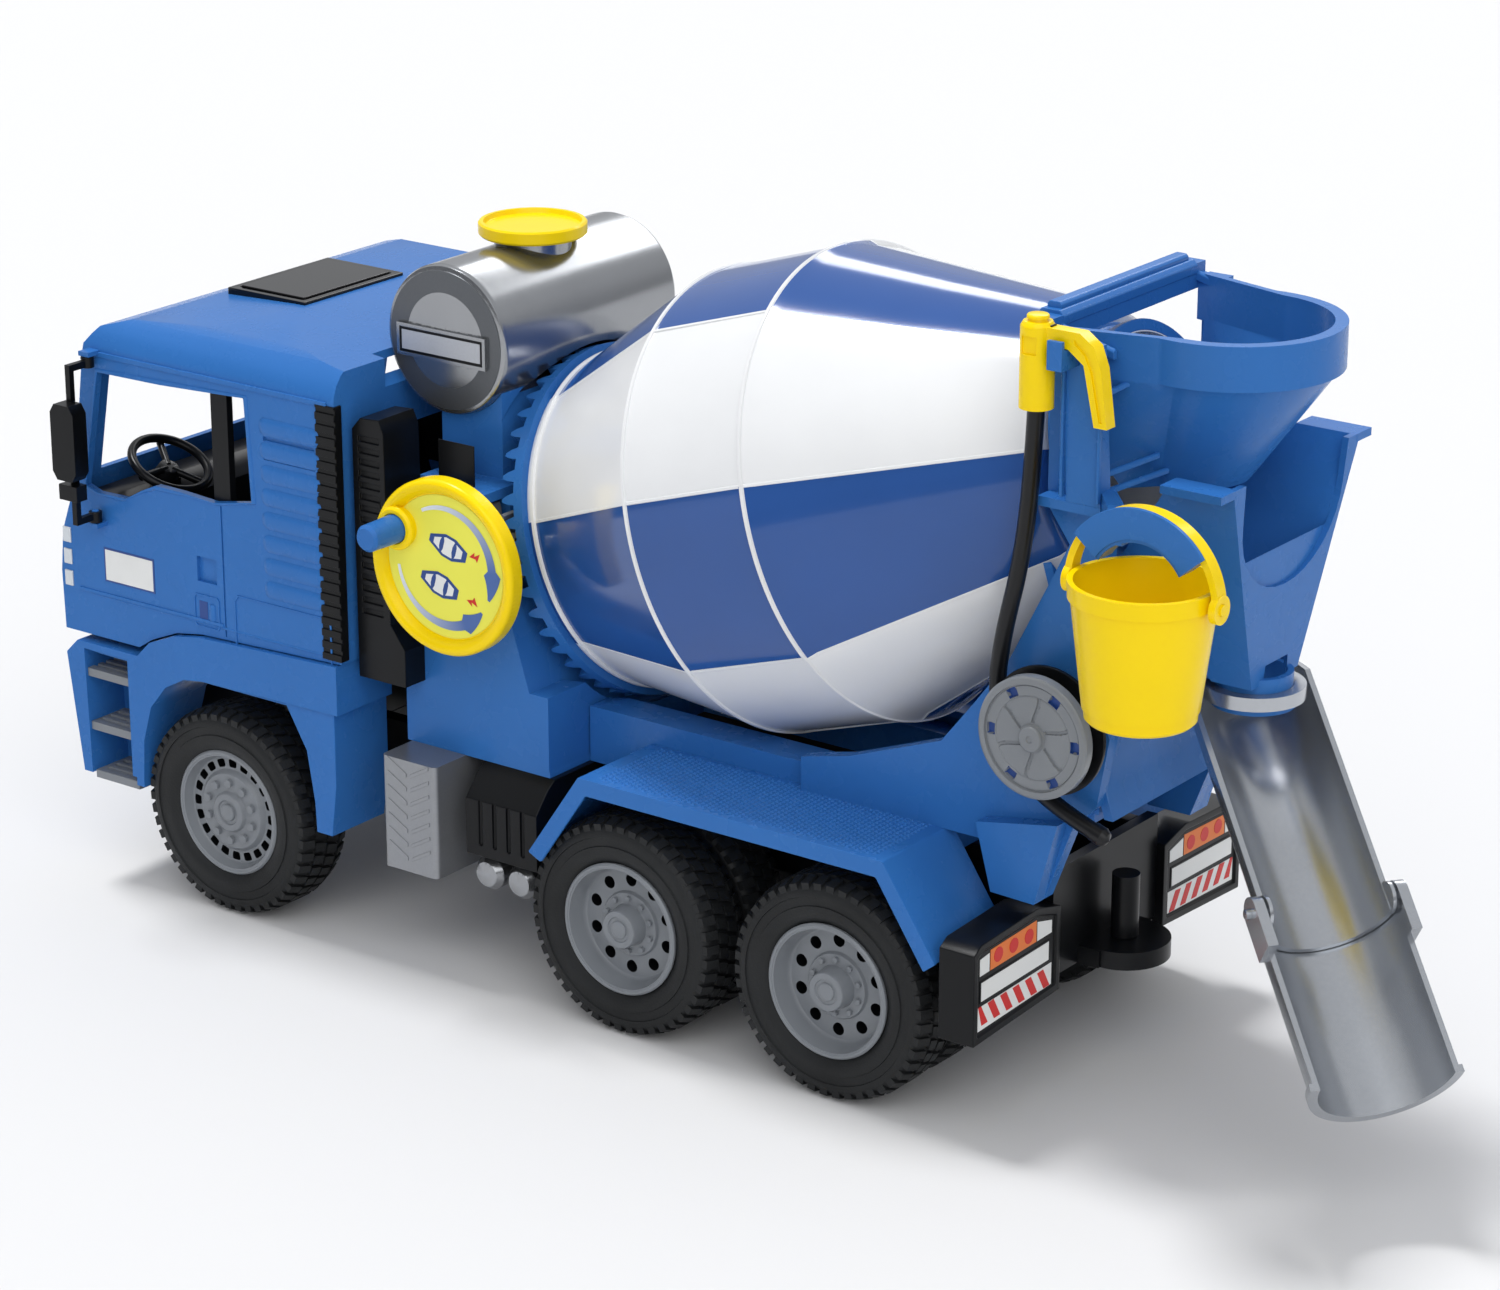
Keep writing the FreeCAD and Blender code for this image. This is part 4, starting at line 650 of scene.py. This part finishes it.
def curved_arrow(bm, radius, start, end, width):
    """Band that widens into an arrow head; the vertices carry how far along they are."""
    layer = bm.verts.layers.float["share"]
    rows = []
    for k in range(ARROW_STEPS + 1):
        t = k / ARROW_STEPS
        a = math.radians(start + (end - start) * t)
        if t < ARROW_HEAD:
            half = width / 2 * (0.3 + 0.6 * t / ARROW_HEAD)
        else:
            half = width * 0.88 * (1.03 - t) / (1 - ARROW_HEAD)
        pair = []
        for r in (radius - half, radius + half):
            vert = bm.verts.new(on_crank(r * math.cos(a), r * math.sin(a), FACE_Y + ARROW_TOP))
            vert[layer] = t
            pair.append(vert)
        rows.append(pair)
    for low, high in zip(rows, rows[1:]):
        bm.faces.new((low[0], low[1], high[1], high[0]))


def small_drum(bm, across, up, length, height, y):
    """Drum seen from its side, blunt at its ends."""
    c, d = math.cos(math.radians(DRUM_LEAN)), math.sin(math.radians(DRUM_LEAN))
    shape = [(-0.5, 0.16), (-0.12, 0.5), (0.16, 0.5), (0.5, 0.22),
             (0.5, -0.22), (0.16, -0.5), (-0.12, -0.5), (-0.5, -0.16)]
    outline = []
    for u, v in shape:
        u, v = u * length, v * height
        outline.append(on_crank(across + u * c - v * d, up + u * d + v * c, y))
    prism(bm, outline, Y * (0.08 * MM))


def crank_print():
    """Yellow sticker with two arrows, two small drums and red marks, and the wheel's thick rim."""
    bm = bmesh.new()
    disc = [(FACE_Y, 0), (FACE_Y, 24.4), (FACE_Y + DISC_TOP, 24.2), (FACE_Y + DISC_TOP, 0)]
    turned(bm, disc, at(CRANK[0], 0, CRANK[1]), Y, Z, 96, closed=False)
    piece("crank_sticker", bm, "crank", "sticker")
    bm = bmesh.new()
    bm.verts.layers.float.new("share")
    curved_arrow(bm, 20.0, 118, -24, 3.8)
    curved_arrow(bm, 20.0, -172, -40, 3.8)
    piece("crank_arrows", bm, "crank", "arrow", printed=True)
    for name, paint, grow, y in (("crank_drums_outline", "navy", 1.0, 0.30),
                                 ("crank_drums_fill", "paper", 0.76, 0.36)):
        bm = bmesh.new()
        for across, up in DRUM_PRINTS:
            small_drum(bm, across, up, 16.0 * grow, 8.0 * grow, FACE_Y + y)
        piece(name, bm, "crank", paint, printed=True)
    bm = bmesh.new()
    for across, up in DRUM_PRINTS:
        for offset in (-2.6, 2.6):
            small_drum(bm, across + offset, up - offset * 0.29, 1.7, 6.2, FACE_Y + 0.42)
    piece("crank_drum_bands", bm, "crank", "navy", printed=True)
    bm = bmesh.new()
    zigzag = [(0, 0), (2.2, 1.8), (2.0, 0.4), (4.4, 1.6), (3.2, -1.4), (2.6, -0.4)]
    for across, up, flip in ((10.5, 5.5, 1), (9.0, -9.5, -1)):
        mark = [on_crank(across + u, up + v * flip, FACE_Y + 0.3) for u, v in zigzag]
        prism(bm, mark, Y * (0.1 * MM))
    piece("crank_marks", bm, "crank", "red", printed=True)
    bm = bmesh.new()
    seat = [(80.0, 0), (80.0, 7.4), (81.3, 7.4), (82.2, 6.5), (82.2, 5.2), (81.2, 5.0), (81.2, 0)]
    turned(bm, seat, at(CRANK[0] + 18.6, 0, CRANK[1] + 10.4), Y, Z, 48, closed=False)
    piece("knob_seat", bm, "crank", "yellow", 0.2)
    rim = [(74.6, 29.4), (75.4, 30.0), (79.4, 30.0), (80.6, 29.2), (81.0, 28.0), (80.6, 26.6),
           (79.6, 25.6), (78.0, 24.8), (77.0, 26)]
    bm = bmesh.new()
    turned(bm, rim, at(CRANK[0], 0, CRANK[1]), Y, Z, 120)
    piece("crank_rolled_rim", bm, "crank", "yellow")


# ---------------------------------------------------------------------------
# reel
# ---------------------------------------------------------------------------
def reel_depth(r, a):
    """How far the reel's face lies below its rim, in millimetres."""
    if r > 18.6:
        return (r - 18.6) * 0.7
    if r > 17.0:
        return 0.0
    depth = 0.7
    spoke = (a / TURN * 6) % 1.0
    bent = (a / TURN * 6 + 0.16 * math.sin((r - 5) / 12 * math.pi)) % 1.0
    if 5.0 < r < 13.2 and min(bent, 1 - bent) * TURN * r / 6 < 0.55:
        depth = 1.3
    if 13.6 < r < 16.4 and abs(spoke - 0.5) * TURN * r / 6 < 1.7:
        depth = 1.9
    if 13.0 < r < 13.5 or 16.5 < r < 17.0:
        depth = 0.95
    if r < 4.4:
        depth = 0.1
    if r < 1.4:
        depth = 1.1
    return depth


REEL_FACE_Y = 66.4
REEL_STEPS = 288
REEL_RADII = [0.0, 0.7, 1.3, 1.5, 3.0, 4.3, 4.6] + [4.8 + 0.35 * k for k in range(24)]
REEL_RADII += [13.25, 13.55, 13.7, 14.4, 15.2, 16.0, 16.35, 16.55, 16.9, 17.05, 17.6, 18.5, 19.0,
               19.4]
# (radius, depth below the rim) of the reel's edge and back
REEL_BACK = ((19.4, 3.8), (18.8, 4.4), (14.0, 4.4), (14.0, 8.3), (4.0, 8.3))


def reel_face():
    """Grey disc with bent grooves, six slots near its edge and a dimple in the middle; the slots are
    painted navy as painted shade.
    """
    bm = bmesh.new()
    centre = at(REEL[0], REEL_FACE_Y, REEL[1])
    angles = [TURN * k / REEL_STEPS for k in range(REEL_STEPS)]

    def ring(radius, depths):
        return [bm.verts.new(centre + (Z * math.cos(a) + X * math.sin(a)) * (radius * MM)
                             - Y * (depth * MM)) for a, depth in zip(angles, depths)]

    rows = [ring(r, [reel_depth(r, a) for a in angles]) for r in REEL_RADII]
    for i in range(len(rows) - 1):
        for k in range(REEL_STEPS):
            j = (k + 1) % REEL_STEPS
            made = bm.faces.new((rows[i][k], rows[i][j], rows[i + 1][j], rows[i + 1][k]))
            r, a = (REEL_RADII[i] + REEL_RADII[i + 1]) / 2, TURN * (k + 0.5) / REEL_STEPS
            # faces deeper than 1.8 mm, the six slots, take navy: painted shade in the slots
            if reel_depth(r, a) > 1.8:
                made.material_index = 1
    chain = [rows[-1]] + [ring(r, [depth] * REEL_STEPS) for r, depth in REEL_BACK]
    for low, high in zip(chain, chain[1:]):
        for k in range(REEL_STEPS):
            j = (k + 1) % REEL_STEPS
            bm.faces.new((low[k], low[j], high[j], high[k]))
    bmesh.ops.remove_doubles(bm, verts=bm.verts, dist=1e-7)
    disc = piece("reel_wheel", bm, "reel", ("grey", "navy"))
    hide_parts("reel_disc")
    bm = bmesh.new()
    cap = [(66.2, 0), (66.2, 4.2), (67.3, 4.0), (67.7, 3.4), (67.7, 1.2), (67.3, 0.9), (67.3, 0)]
    turned(bm, cap, at(REEL[0], 0, REEL[1]), Y, Z, 48, closed=False)
    piece("reel_cap", bm, "reel", "grey")


# ---------------------------------------------------------------------------
# lamp boards, labels, side details
# ---------------------------------------------------------------------------
BOARD_X = -56.2


def on_board(y, z, proud=0.0):
    return at(BOARD_X - proud, y, z)


def patch(bm, corners, proud, number=0):
    prism(bm, [on_board(y, z) for y, z in corners], X * (-proud * MM), number)


def lamp_stickers():
    """Printed lamps, a blank number plate and red and white slanted stripes."""
    bm = bmesh.new()
    paints = ("paper", "amber", "red", "black")
    surround = [(34.6, 56.6), (76.6, 55.6), (76.6, 63.2), (74.2, 64.4), (44.8, 65.6), (34.6, 62.8)]
    patch(bm, surround, 0.10, 3)
    patch(bm, [(70.6, 57.0), (75.8, 56.8), (75.8, 62.4), (70.6, 63.0)], 0.22, 0)
    patch(bm, [(44.2, 57.6), (70.0, 57.0), (70.0, 63.8), (44.2, 64.8)], 0.22, 1)
    patch(bm, [(35.4, 57.8), (43.6, 57.6), (43.6, 64.0), (35.4, 62.0)], 0.22, 0)
    for y in (48.5, 57.1, 65.7):
        ring = arc_points(on_board(y, 60.9), Y, Z, 2.5, 0, 330, 12)
        prism(bm, ring, X * (-0.34 * MM), 2)
    patch(bm, [(36.4, 48.4), (75.6, 47.6), (75.6, 55.0), (36.4, 55.8)], 0.22, 3)
    patch(bm, [(37.0, 49.0), (75.0, 48.2), (75.0, 54.4), (37.0, 55.2)], 0.30, 0)
    low, high = 39.0, 47.0
    band = [(35.0, low + 1.0), (76.4, low - 0.6), (76.4, high - 0.6), (35.0, high + 0.4)]
    patch(bm, band, 0.12, 0)
    for k in range(6):
        y = 36.0 + 7.0 * k
        stripe = [(y, low + 1.1), (y + 3.4, low + 1.0),
                  (y + 7.2, high - 0.6), (y + 3.8, high - 0.4)]
        patch(bm, [(min(p, 76.3), q) for p, q in stripe], 0.22, 2)
    both_sides(bm)
    piece("lamp_stickers", bm, "chassis", paints, printed=True)


def tank_labels():
    """Blank name plate inside the raised frame on each end of the tank."""
    for name, side in (("left", 1), ("right", -1)):
        bm = bmesh.new()
        for number, edge, y0, y1 in ((0, 0.0, 47.25, 47.55), (1, 0.9, 47.5, 47.72)):
            low, high = sorted((side * y0, side * y1))
            block(bm, (161.3 + edge, low, 207.3 + edge), (196.7 - edge, high, 215.7 - edge), number)
        piece("tank_label_" + name, bm, "chassis", ("black", "plate"))


def tank_ends():
    """Darker silver faces of the tank's two ends, a painted shade on the tank's own silver, inside
    the bright rounded edge.
    """
    bm = bmesh.new()
    hub = at(TANK[0], 0, TANK[1])
    turned(bm, [(46.25, 0), (46.25, 23.6), (46.45, 23.5), (46.45, 0)], hub, Y, Z, 96, closed=False)
    both_sides(bm)
    piece("tank_ends", bm, "chassis", "tank_end")


def door_badges():
    """Blank white badge with a dark edge on each door."""
    bm = bmesh.new()
    for number, y, depth, edge in ((0, CAB_SIDE, 0.12, 0.0), (1, CAB_SIDE + 0.1, 0.14, 0.7)):
        low, high = (285.5 + edge, y, 112.0 + edge), (309.5 - edge, y + depth, 124.5 - edge)
        block(bm, low, high, number)
    both_sides(bm)
    piece("door_badges", bm, "cab", ("navy", "paper"), printed=True)


TREAD_ROWS, TREAD_COLUMNS = 55, 17


def fender_tread():
    """Fine pyramids over the flat tops of the rear mudguards."""
    bm = bmesh.new()
    pitch, size, height = 2.0, 0.80, 0.62
    for i in range(TREAD_ROWS):
        for j in range(TREAD_COLUMNS):
            x = -17.0 + pitch * i
            y = 43.6 + pitch * j + (pitch / 2 if i % 2 else 0)
            if y > 77.4:
                continue
            base = [bm.verts.new(at(x + dx, y + dy, 87.95))
                    for dx, dy in ((-size, -size), (size, -size), (size, size), (-size, size))]
            tip = bm.verts.new(at(x, y, 88 + height))
            for k in range(4):
                bm.faces.new((base[k], base[(k + 1) % 4], tip))
    both_sides(bm)
    piece("fender_tread", bm, "chassis", "blue", printed=True)


BOX_MIDDLE, BOX_SIDE = 171.8, 77.9


def box_lids():
    """Slanted raised bars on the silver tool boxes, like tread plate."""
    bm = bmesh.new()
    for k in range(7):
        z = 40.0 + 5.0 * k
        for side in (-1, 1):
            x0, x1 = BOX_MIDDLE + side * 0.8, BOX_MIDDLE + side * 9.0
            bar = [(x0, z), (x1, z + 4.6), (x1, z + 6.0), (x0, z + 1.4)]
            prism(bm, [at(x, BOX_SIDE, up) for x, up in bar], Y * (0.4 * MM))
    both_sides(bm)
    piece("box_lids", bm, "chassis", "box", 0.15)


DOOR_WINDOW = [(238, 154), (256, 150.6), (270.5, 151.5), (282.7, 151.7), (289.5, 148.7),
               (297.4, 144.3), (310.9, 144), (316.4, 145.8), (308.2, 187.9), (278.5, 188.4),
               (239.9, 190.3)]


def cab_trim():
    """Raised window surrounds, the gutter under the roof and the crease above the wheel arch."""
    bm = bmesh.new()
    section = ((-0.1, 77.4), (-0.1, 78.5), (1.3, 78.5), (1.9, 77.9))
    closed_strip(bm, [[bm.verts.new(at(x + away.x * out, y, z + away.y * out))
                       for out, y in section] for x, z, away in away_from_middle(DOOR_WINDOW)])
    block(bm, (203, 77.8, 193.4), (309, 78.6, 195.2))
    block(bm, (253.6, 77.8, 106.4), (322, 78.5, 107.6))
    both_sides(bm)
    piece("cab_trim", bm, "cab", "blue", 0.2)


def rounded_bar(bm, start, end, y, half, height):
    """Raised bar with a rounded section along a line in the cab's side; ends taper to nothing."""
    run = end - start
    across = run.normalized().cross(Y)
    stops = ((0.0, 0.0), (0.04, 0.75), (0.10, 1.0), (0.90, 1.0), (0.96, 0.75), (1.0, 0.0))
    rows = []
    for along, share in stops:
        spine = start + run * along
        row = []
        for k in range(7):
            a = math.pi * k / 6
            push = across * (math.cos(a) * half * MM * max(share, 0.3))
            row.append(bm.verts.new(spine + push + Y * ((y + math.sin(a) * height * share) * MM)))
        rows.append(row)
    for low, high in zip(rows, rows[1:]):
        for k in range(6):
            bm.faces.new((low[k], low[k + 1], high[k + 1], high[k]))
        bm.faces.new((low[0], high[0], high[6], low[6]))


def cab_louvres():
    """Eight rounded slats behind each door window."""
    bm = bmesh.new()
    for k in range(8):
        z = 124.5 + 8.2 * k
        rounded_bar(bm, at(206.5, 0, z), at(234.0, 0, z), 77.7, 3.4, 1.25)
    both_sides(bm)
    piece("cab_louvres", bm, "cab", "blue")


def outline_bead(bm, outline, y, width, height):
    """Thin raised bead along a closed outline of (x, z) points."""
    section = ((0, -0.3), (0, height), (width, height), (width, -0.3))
    closed_strip(bm, [[bm.verts.new(at(x + away.x * out, y + up, z + away.y * out))
                       for out, up in section] for x, z, away in away_from_middle(outline)])


def door_panels():
    """Pressed panel behind the door and two crease lines along the cab's side."""
    bm = bmesh.new()
    panel = [(206, 90), (246, 90), (247.5, 92), (247.5, 117), (246, 119), (206, 119), (204.5, 117),
             (204.5, 92)]
    outline_bead(bm, panel, CAB_SIDE, 0.7, 0.35)
    for z in (106, 84.5):
        rounded_bar(bm, at(204.5, 0, z), at(319, 0, z), CAB_SIDE - 0.1, 0.5, 0.35)
    both_sides(bm)
    piece("door_panels", bm, "cab", "blue")


def door_handles():
    """Recessed square with a grip near the door's rear edge, and a navy patch beside the grip as
    painted shade in the recess.
    """
    bm = bmesh.new()
    recess = [(256.4, 105), (265.6, 105), (266.4, 106), (266.4, 115), (265.6, 116), (256.4, 116),
              (255.6, 115), (255.6, 106)]
    outline_bead(bm, recess, CAB_SIDE, 0.6, 0.4)
    rounded_bar(bm, at(258.6, 0, 107.4), at(258.6, 0, 113.8), CAB_SIDE - 0.2, 1.5, 1.1)
    # navy patch beside the grip: painted shade in the handle's recess
    block(bm, (260.8, CAB_SIDE, 107.2), (264.6, CAB_SIDE + 0.12, 114.0), 1)
    both_sides(bm)
    piece("door_handles", bm, "cab", ("blue", "navy"))


def hatch_panel():
    """Raised inner panel of the roof hatch."""
    bm = bmesh.new()
    low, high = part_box("roof_hatch")
    edge, lift = 3.5 * MM, 0.5 * MM
    corners = [(low.x + edge, low.y + edge), (high.x - edge, low.y + edge),
               (high.x - edge, high.y - edge), (low.x + edge, high.y - edge)]
    prism(bm, [Vector((x, y, high.z - lift)) for x, y in corners], Z * (2 * lift))
    piece("hatch_panel", bm, "cab", "gloss_black", 0.3)


def cab_lining():
    """Black lining on the inner walls up to the window line."""
    bm = bmesh.new()
    inner = CAB_SIDE - CAB_WALL
    for x0, z0, x1, z1 in ((209.5, 107.7, 249.5, 148.5), (259.0, 107.7, 287.0, 148.0),
                           (287.2, 122.0, 314.0, 143.2), (209.5, 148.5, 237.0, 190.0)):
        block(bm, (x0, inner - 0.45, z0), (x1, inner - 0.05, z1))
    both_sides(bm)
    piece("cab_lining", bm, "cab", "black")


def headlamps():
    """Clear lamps in the bumper corners, with a black surround."""
    bm = bmesh.new()
    for y in (56, -56):
        block(bm, (322.6, y - 11, 58), (326.4, y + 11, 72), 0)
        block(bm, (324.0, y - 9.4, 59.6), (327.2, y + 9.4, 70.4), 1)
    block(bm, (322.6, -26, 50), (326.0, 26, 58), 0)
    piece("headlamps", bm, "chassis", ("black", "lens"), 0.4)


def corner_lamps():
    """Three small clear lamps down each front corner of the cab."""
    bm = bmesh.new()
    for z in (107.0, 115.0, 123.0):
        block(bm, (325.2, 77.6, z), (329.0, 78.5, z + 5.6))
    both_sides(bm)
    piece("corner_lamps", bm, "cab", "lens", 0.2)


def bevelled_beam(bm, start, end, up, width, height, chamfer):
    """Beam with chamfered upper edges between two points."""
    run = (end - start).normalized()
    across = run.cross(up).normalized()
    w, h, c = width / 2, height / 2, chamfer
    section = [(-w, -h), (w, -h), (w, h - c), (w - c, h), (c - w, h), (-w, h - c)]
    outline = [start + across * (u * MM) + up * (v * MM) for u, v in section]
    prism(bm, outline, end - start)


def hopper_trim():
    """Chamfered bar over the funnel's front edge, its ends, and three slanted ribs by the post."""
    bm = bmesh.new()
    bevelled_beam(bm, at(-52.5, -38.5, 257.0), at(-52.5, 38.5, 257.0), Z, 9.6, 4.4, 1.6)
    bevelled_beam(bm, at(-52.5, -36.5, 260.0), at(-52.5, 36.5, 260.0), Z, 5.2, 2.4, 0.9)
    for y in (39.2, -39.2):
        bevelled_beam(bm, at(-52, y, 255.5), at(-76, y, 249.2), Z, 2.2, 3.2, 0.8)
    bevelled_beam(bm, at(-73, 46.4, 236.2), at(-79, 33.5, 240.5), Z, 2.2, 1.6, 0.5)
    bevelled_beam(bm, at(-72.5, 46.4, 211.5), at(-83, 24.5, 216.0), Z, 2.0, 1.8, 0.5)
    bevelled_beam(bm, at(-72.5, 46.4, 206.0), at(-84, 20.5, 210.5), Z, 2.0, 1.8, 0.5)
    piece("hopper_trim", bm, "chassis", "blue", 0.3)


def gun_slot():
    """Black sheet as painted shade for the slot in the spray gun's head, and the round cap on its
    top.
    """
    bm = bmesh.new()
    # painted shade: thin black sheet for the slot in the gun's head
    block(bm, (-65.62, 55.6, 251.5), (-65.15, 58.4, 260.5))
    piece("gun_slot", bm, "chassis", "black")
    bm = bmesh.new()
    cap = [(261.8, 0), (261.8, 3.4), (262.6, 3.4), (263.0, 3.0), (263.0, 0)]
    turned(bm, cap, at(-60, 57, 0), Z, X, 40, closed=False)
    piece("gun_cap", bm, "chassis", "yellow")


def post_edges():
    """Raised edges down the gun post."""
    bm = bmesh.new()
    for x in (-66.6, -79.4):
        bevelled_beam(bm, at(x, 52.6, 207), at(x, 52.6, 252), X, 1.6, 1.3, 0.4)
    bevelled_beam(bm, at(-79.4, 52.6, 252.6), at(-66.0, 52.6, 252.6), Z, 1.6, 1.3, 0.4)
    piece("post_edges", bm, "chassis", "blue", 0.2)


def tower_painted_shade():
    """Black panel on each side of the blue tower, under the tank: painted shade where the tank and
    drum shadow the tower.
    """
    bm = bmesh.new()
    # painted shade: a thin black sheet on the tower's side, under the tank
    block(bm, (160.0, 53.9, 122.0), (175.5, 54.35, 182.0))
    both_sides(bm)
    piece("tower_painted_shade", bm, "chassis", "black", 0.2)


# ---------------------------------------------------------------------------
# hose
# ---------------------------------------------------------------------------
HOSE_ROUTE = [
    (-60, 57, 234.2), (-58.5, 56, 212), (-54, 54, 184), (-47.5, 53, 160),
    (-45, 53, 140), (-51, 53, 121), (-65, 53, 109), (-81.5, 53, 103.5),
]
HOSE_LENGTH, HOSE_DIAMETER = 0.1505, 0.0054


def make_hose():
    """Black hose from the spray gun to its fitting, on one smooth curve."""
    curve = bpy.data.curves.new("cleaning_hose_tube", "CURVE")
    curve.dimensions = "3D"
    curve.bevel_depth = HOSE_DIAMETER / 2
    curve.bevel_resolution = 6
    curve.use_fill_caps = True
    spline = curve.splines.new("NURBS")
    spline.points.add(len(HOSE_ROUTE) - 1)
    for point, place in zip(spline.points, HOSE_ROUTE):
        point.co = (*at(*place), 1)
    spline.order_u = 3
    spline.use_endpoint_u = True
    spline.resolution_u = 24
    hose = bpy.data.objects.new("cleaning_hose_tube", curve)
    bpy.context.scene.collection.objects.link(hose)
    curve.materials.append(PAINT["hose"])
    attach(hose, "chassis")
    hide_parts("cleaning_hose")
    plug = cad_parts["hose_end"]
    plug.data.materials.clear()
    plug.data.materials.append(PAINT["hose"])


# ---------------------------------------------------------------------------
# stage, light, camera
# ---------------------------------------------------------------------------
FLOOR_HALF = 8.0


def make_stage():
    """Pale matt floor and the studio around it."""
    bm = bmesh.new()
    corners = ((-1, -1), (1, -1), (1, 1), (-1, 1))
    bm.faces.new([bm.verts.new((x * FLOOR_HALF, y * FLOOR_HALF, 0)) for x, y in corners])
    floor = bpy.data.objects.new("floor", as_mesh("floor", bm))
    bpy.context.scene.collection.objects.link(floor)
    material, nodes, _ = new_material("floor_paper")
    shader = nodes["Principled BSDF"]
    shader.inputs["Base Color"].default_value = (0.70, 0.70, 0.705, 1)
    shader.inputs["Roughness"].default_value = 0.9
    shader.inputs["Specular IOR Level"].default_value = 0.0
    floor.data.materials.append(material)
    bpy.context.scene.world = studio_world()
    bpy.context.scene.view_settings.view_transform = "Standard"


def studio_world():
    """Soft white room: bright behind and above the object, dim on the camera's side."""
    world = bpy.data.worlds.new("studio")
    world.use_nodes = True
    nodes, links = world.node_tree.nodes, world.node_tree.links
    coords = nodes.new("ShaderNodeTexCoord")
    facing = nodes.new("ShaderNodeVectorMath")
    facing.operation = "DOT_PRODUCT"
    facing.inputs[1].default_value = (0.05, -0.32, 0.94)
    ramp = nodes.new("ShaderNodeValToRGB")
    ramp.color_ramp.interpolation = "EASE"
    ramp.color_ramp.elements[0].position = 0.0
    ramp.color_ramp.elements[0].color = (0.20, 0.205, 0.22, 1)
    ramp.color_ramp.elements[1].position = 0.62
    ramp.color_ramp.elements[1].color = (0.66, 0.67, 0.69, 1)
    links.new(coords.outputs["Generated"], facing.inputs[0])
    links.new(facing.outputs["Value"], ramp.inputs["Fac"])
    links.new(ramp.outputs["Color"], nodes["Background"].inputs["Color"])
    return world


def area_light(name, place, aim, size, power):
    """Soft box that shows only as a highlight."""
    data = bpy.data.lights.new(name, "AREA")
    data.shape = "RECTANGLE"
    data.size, data.size_y = size
    data.energy = power
    lamp = bpy.data.objects.new(name, data)
    bpy.context.scene.collection.objects.link(lamp)
    lamp.location = place
    lamp.rotation_euler = (Vector(aim) - Vector(place)).to_track_quat("-Z", "Y").to_euler()
    lamp.visible_diffuse = False


def sun(name, direction, energy, angle):
    data = bpy.data.lights.new(name, "SUN")
    data.energy = energy
    data.angle = math.radians(angle)
    lamp = bpy.data.objects.new(name, data)
    bpy.context.scene.collection.objects.link(lamp)
    lamp.rotation_euler = Vector(direction).to_track_quat("-Z", "Y").to_euler()


def make_lights():
    """Key light from above, a broad fill from the camera's side and a strip behind for highlights."""
    sun("key", (-0.34, 0.05, -0.94), energy=2.0, angle=13)
    sun("fill", (0.50, -0.66, -0.56), energy=1.3, angle=60)
    area_light("back_strip", (0.30, -1.40, 1.25), aim=(0.08, 0, 0.20), size=(1.4, 0.30), power=9)


def make_camera():
    """Long lens from behind on the left, a little above the roof."""
    data = bpy.data.cameras.new("camera")
    data.lens, data.sensor_width = 103.46, 36.0
    camera = bpy.data.objects.new("camera", data)
    bpy.context.scene.collection.objects.link(camera)
    camera.location = at(-720.44, 1089.72, 591.85)
    camera.rotation_euler = (math.radians(70.55), 0, math.radians(-143.45))
    data.clip_start, data.clip_end = 0.05, 50
    bpy.context.scene.camera = camera


make_stage()
make_lights()
make_camera()
finish_cad_nodes()
make_hose()
make_tyres()
make_rims()
wheel_nuts()
make_drum()
crank_print()
reel_face()
lamp_stickers()
tank_labels()
tank_ends()
door_badges()
fender_tread()
box_lids()
cab_trim()
corner_lamps()
headlamps()
cab_louvres()
door_panels()
hatch_panel()
cab_lining()
hopper_trim()
post_edges()
door_handles()
gun_slot()
tower_painted_shade()
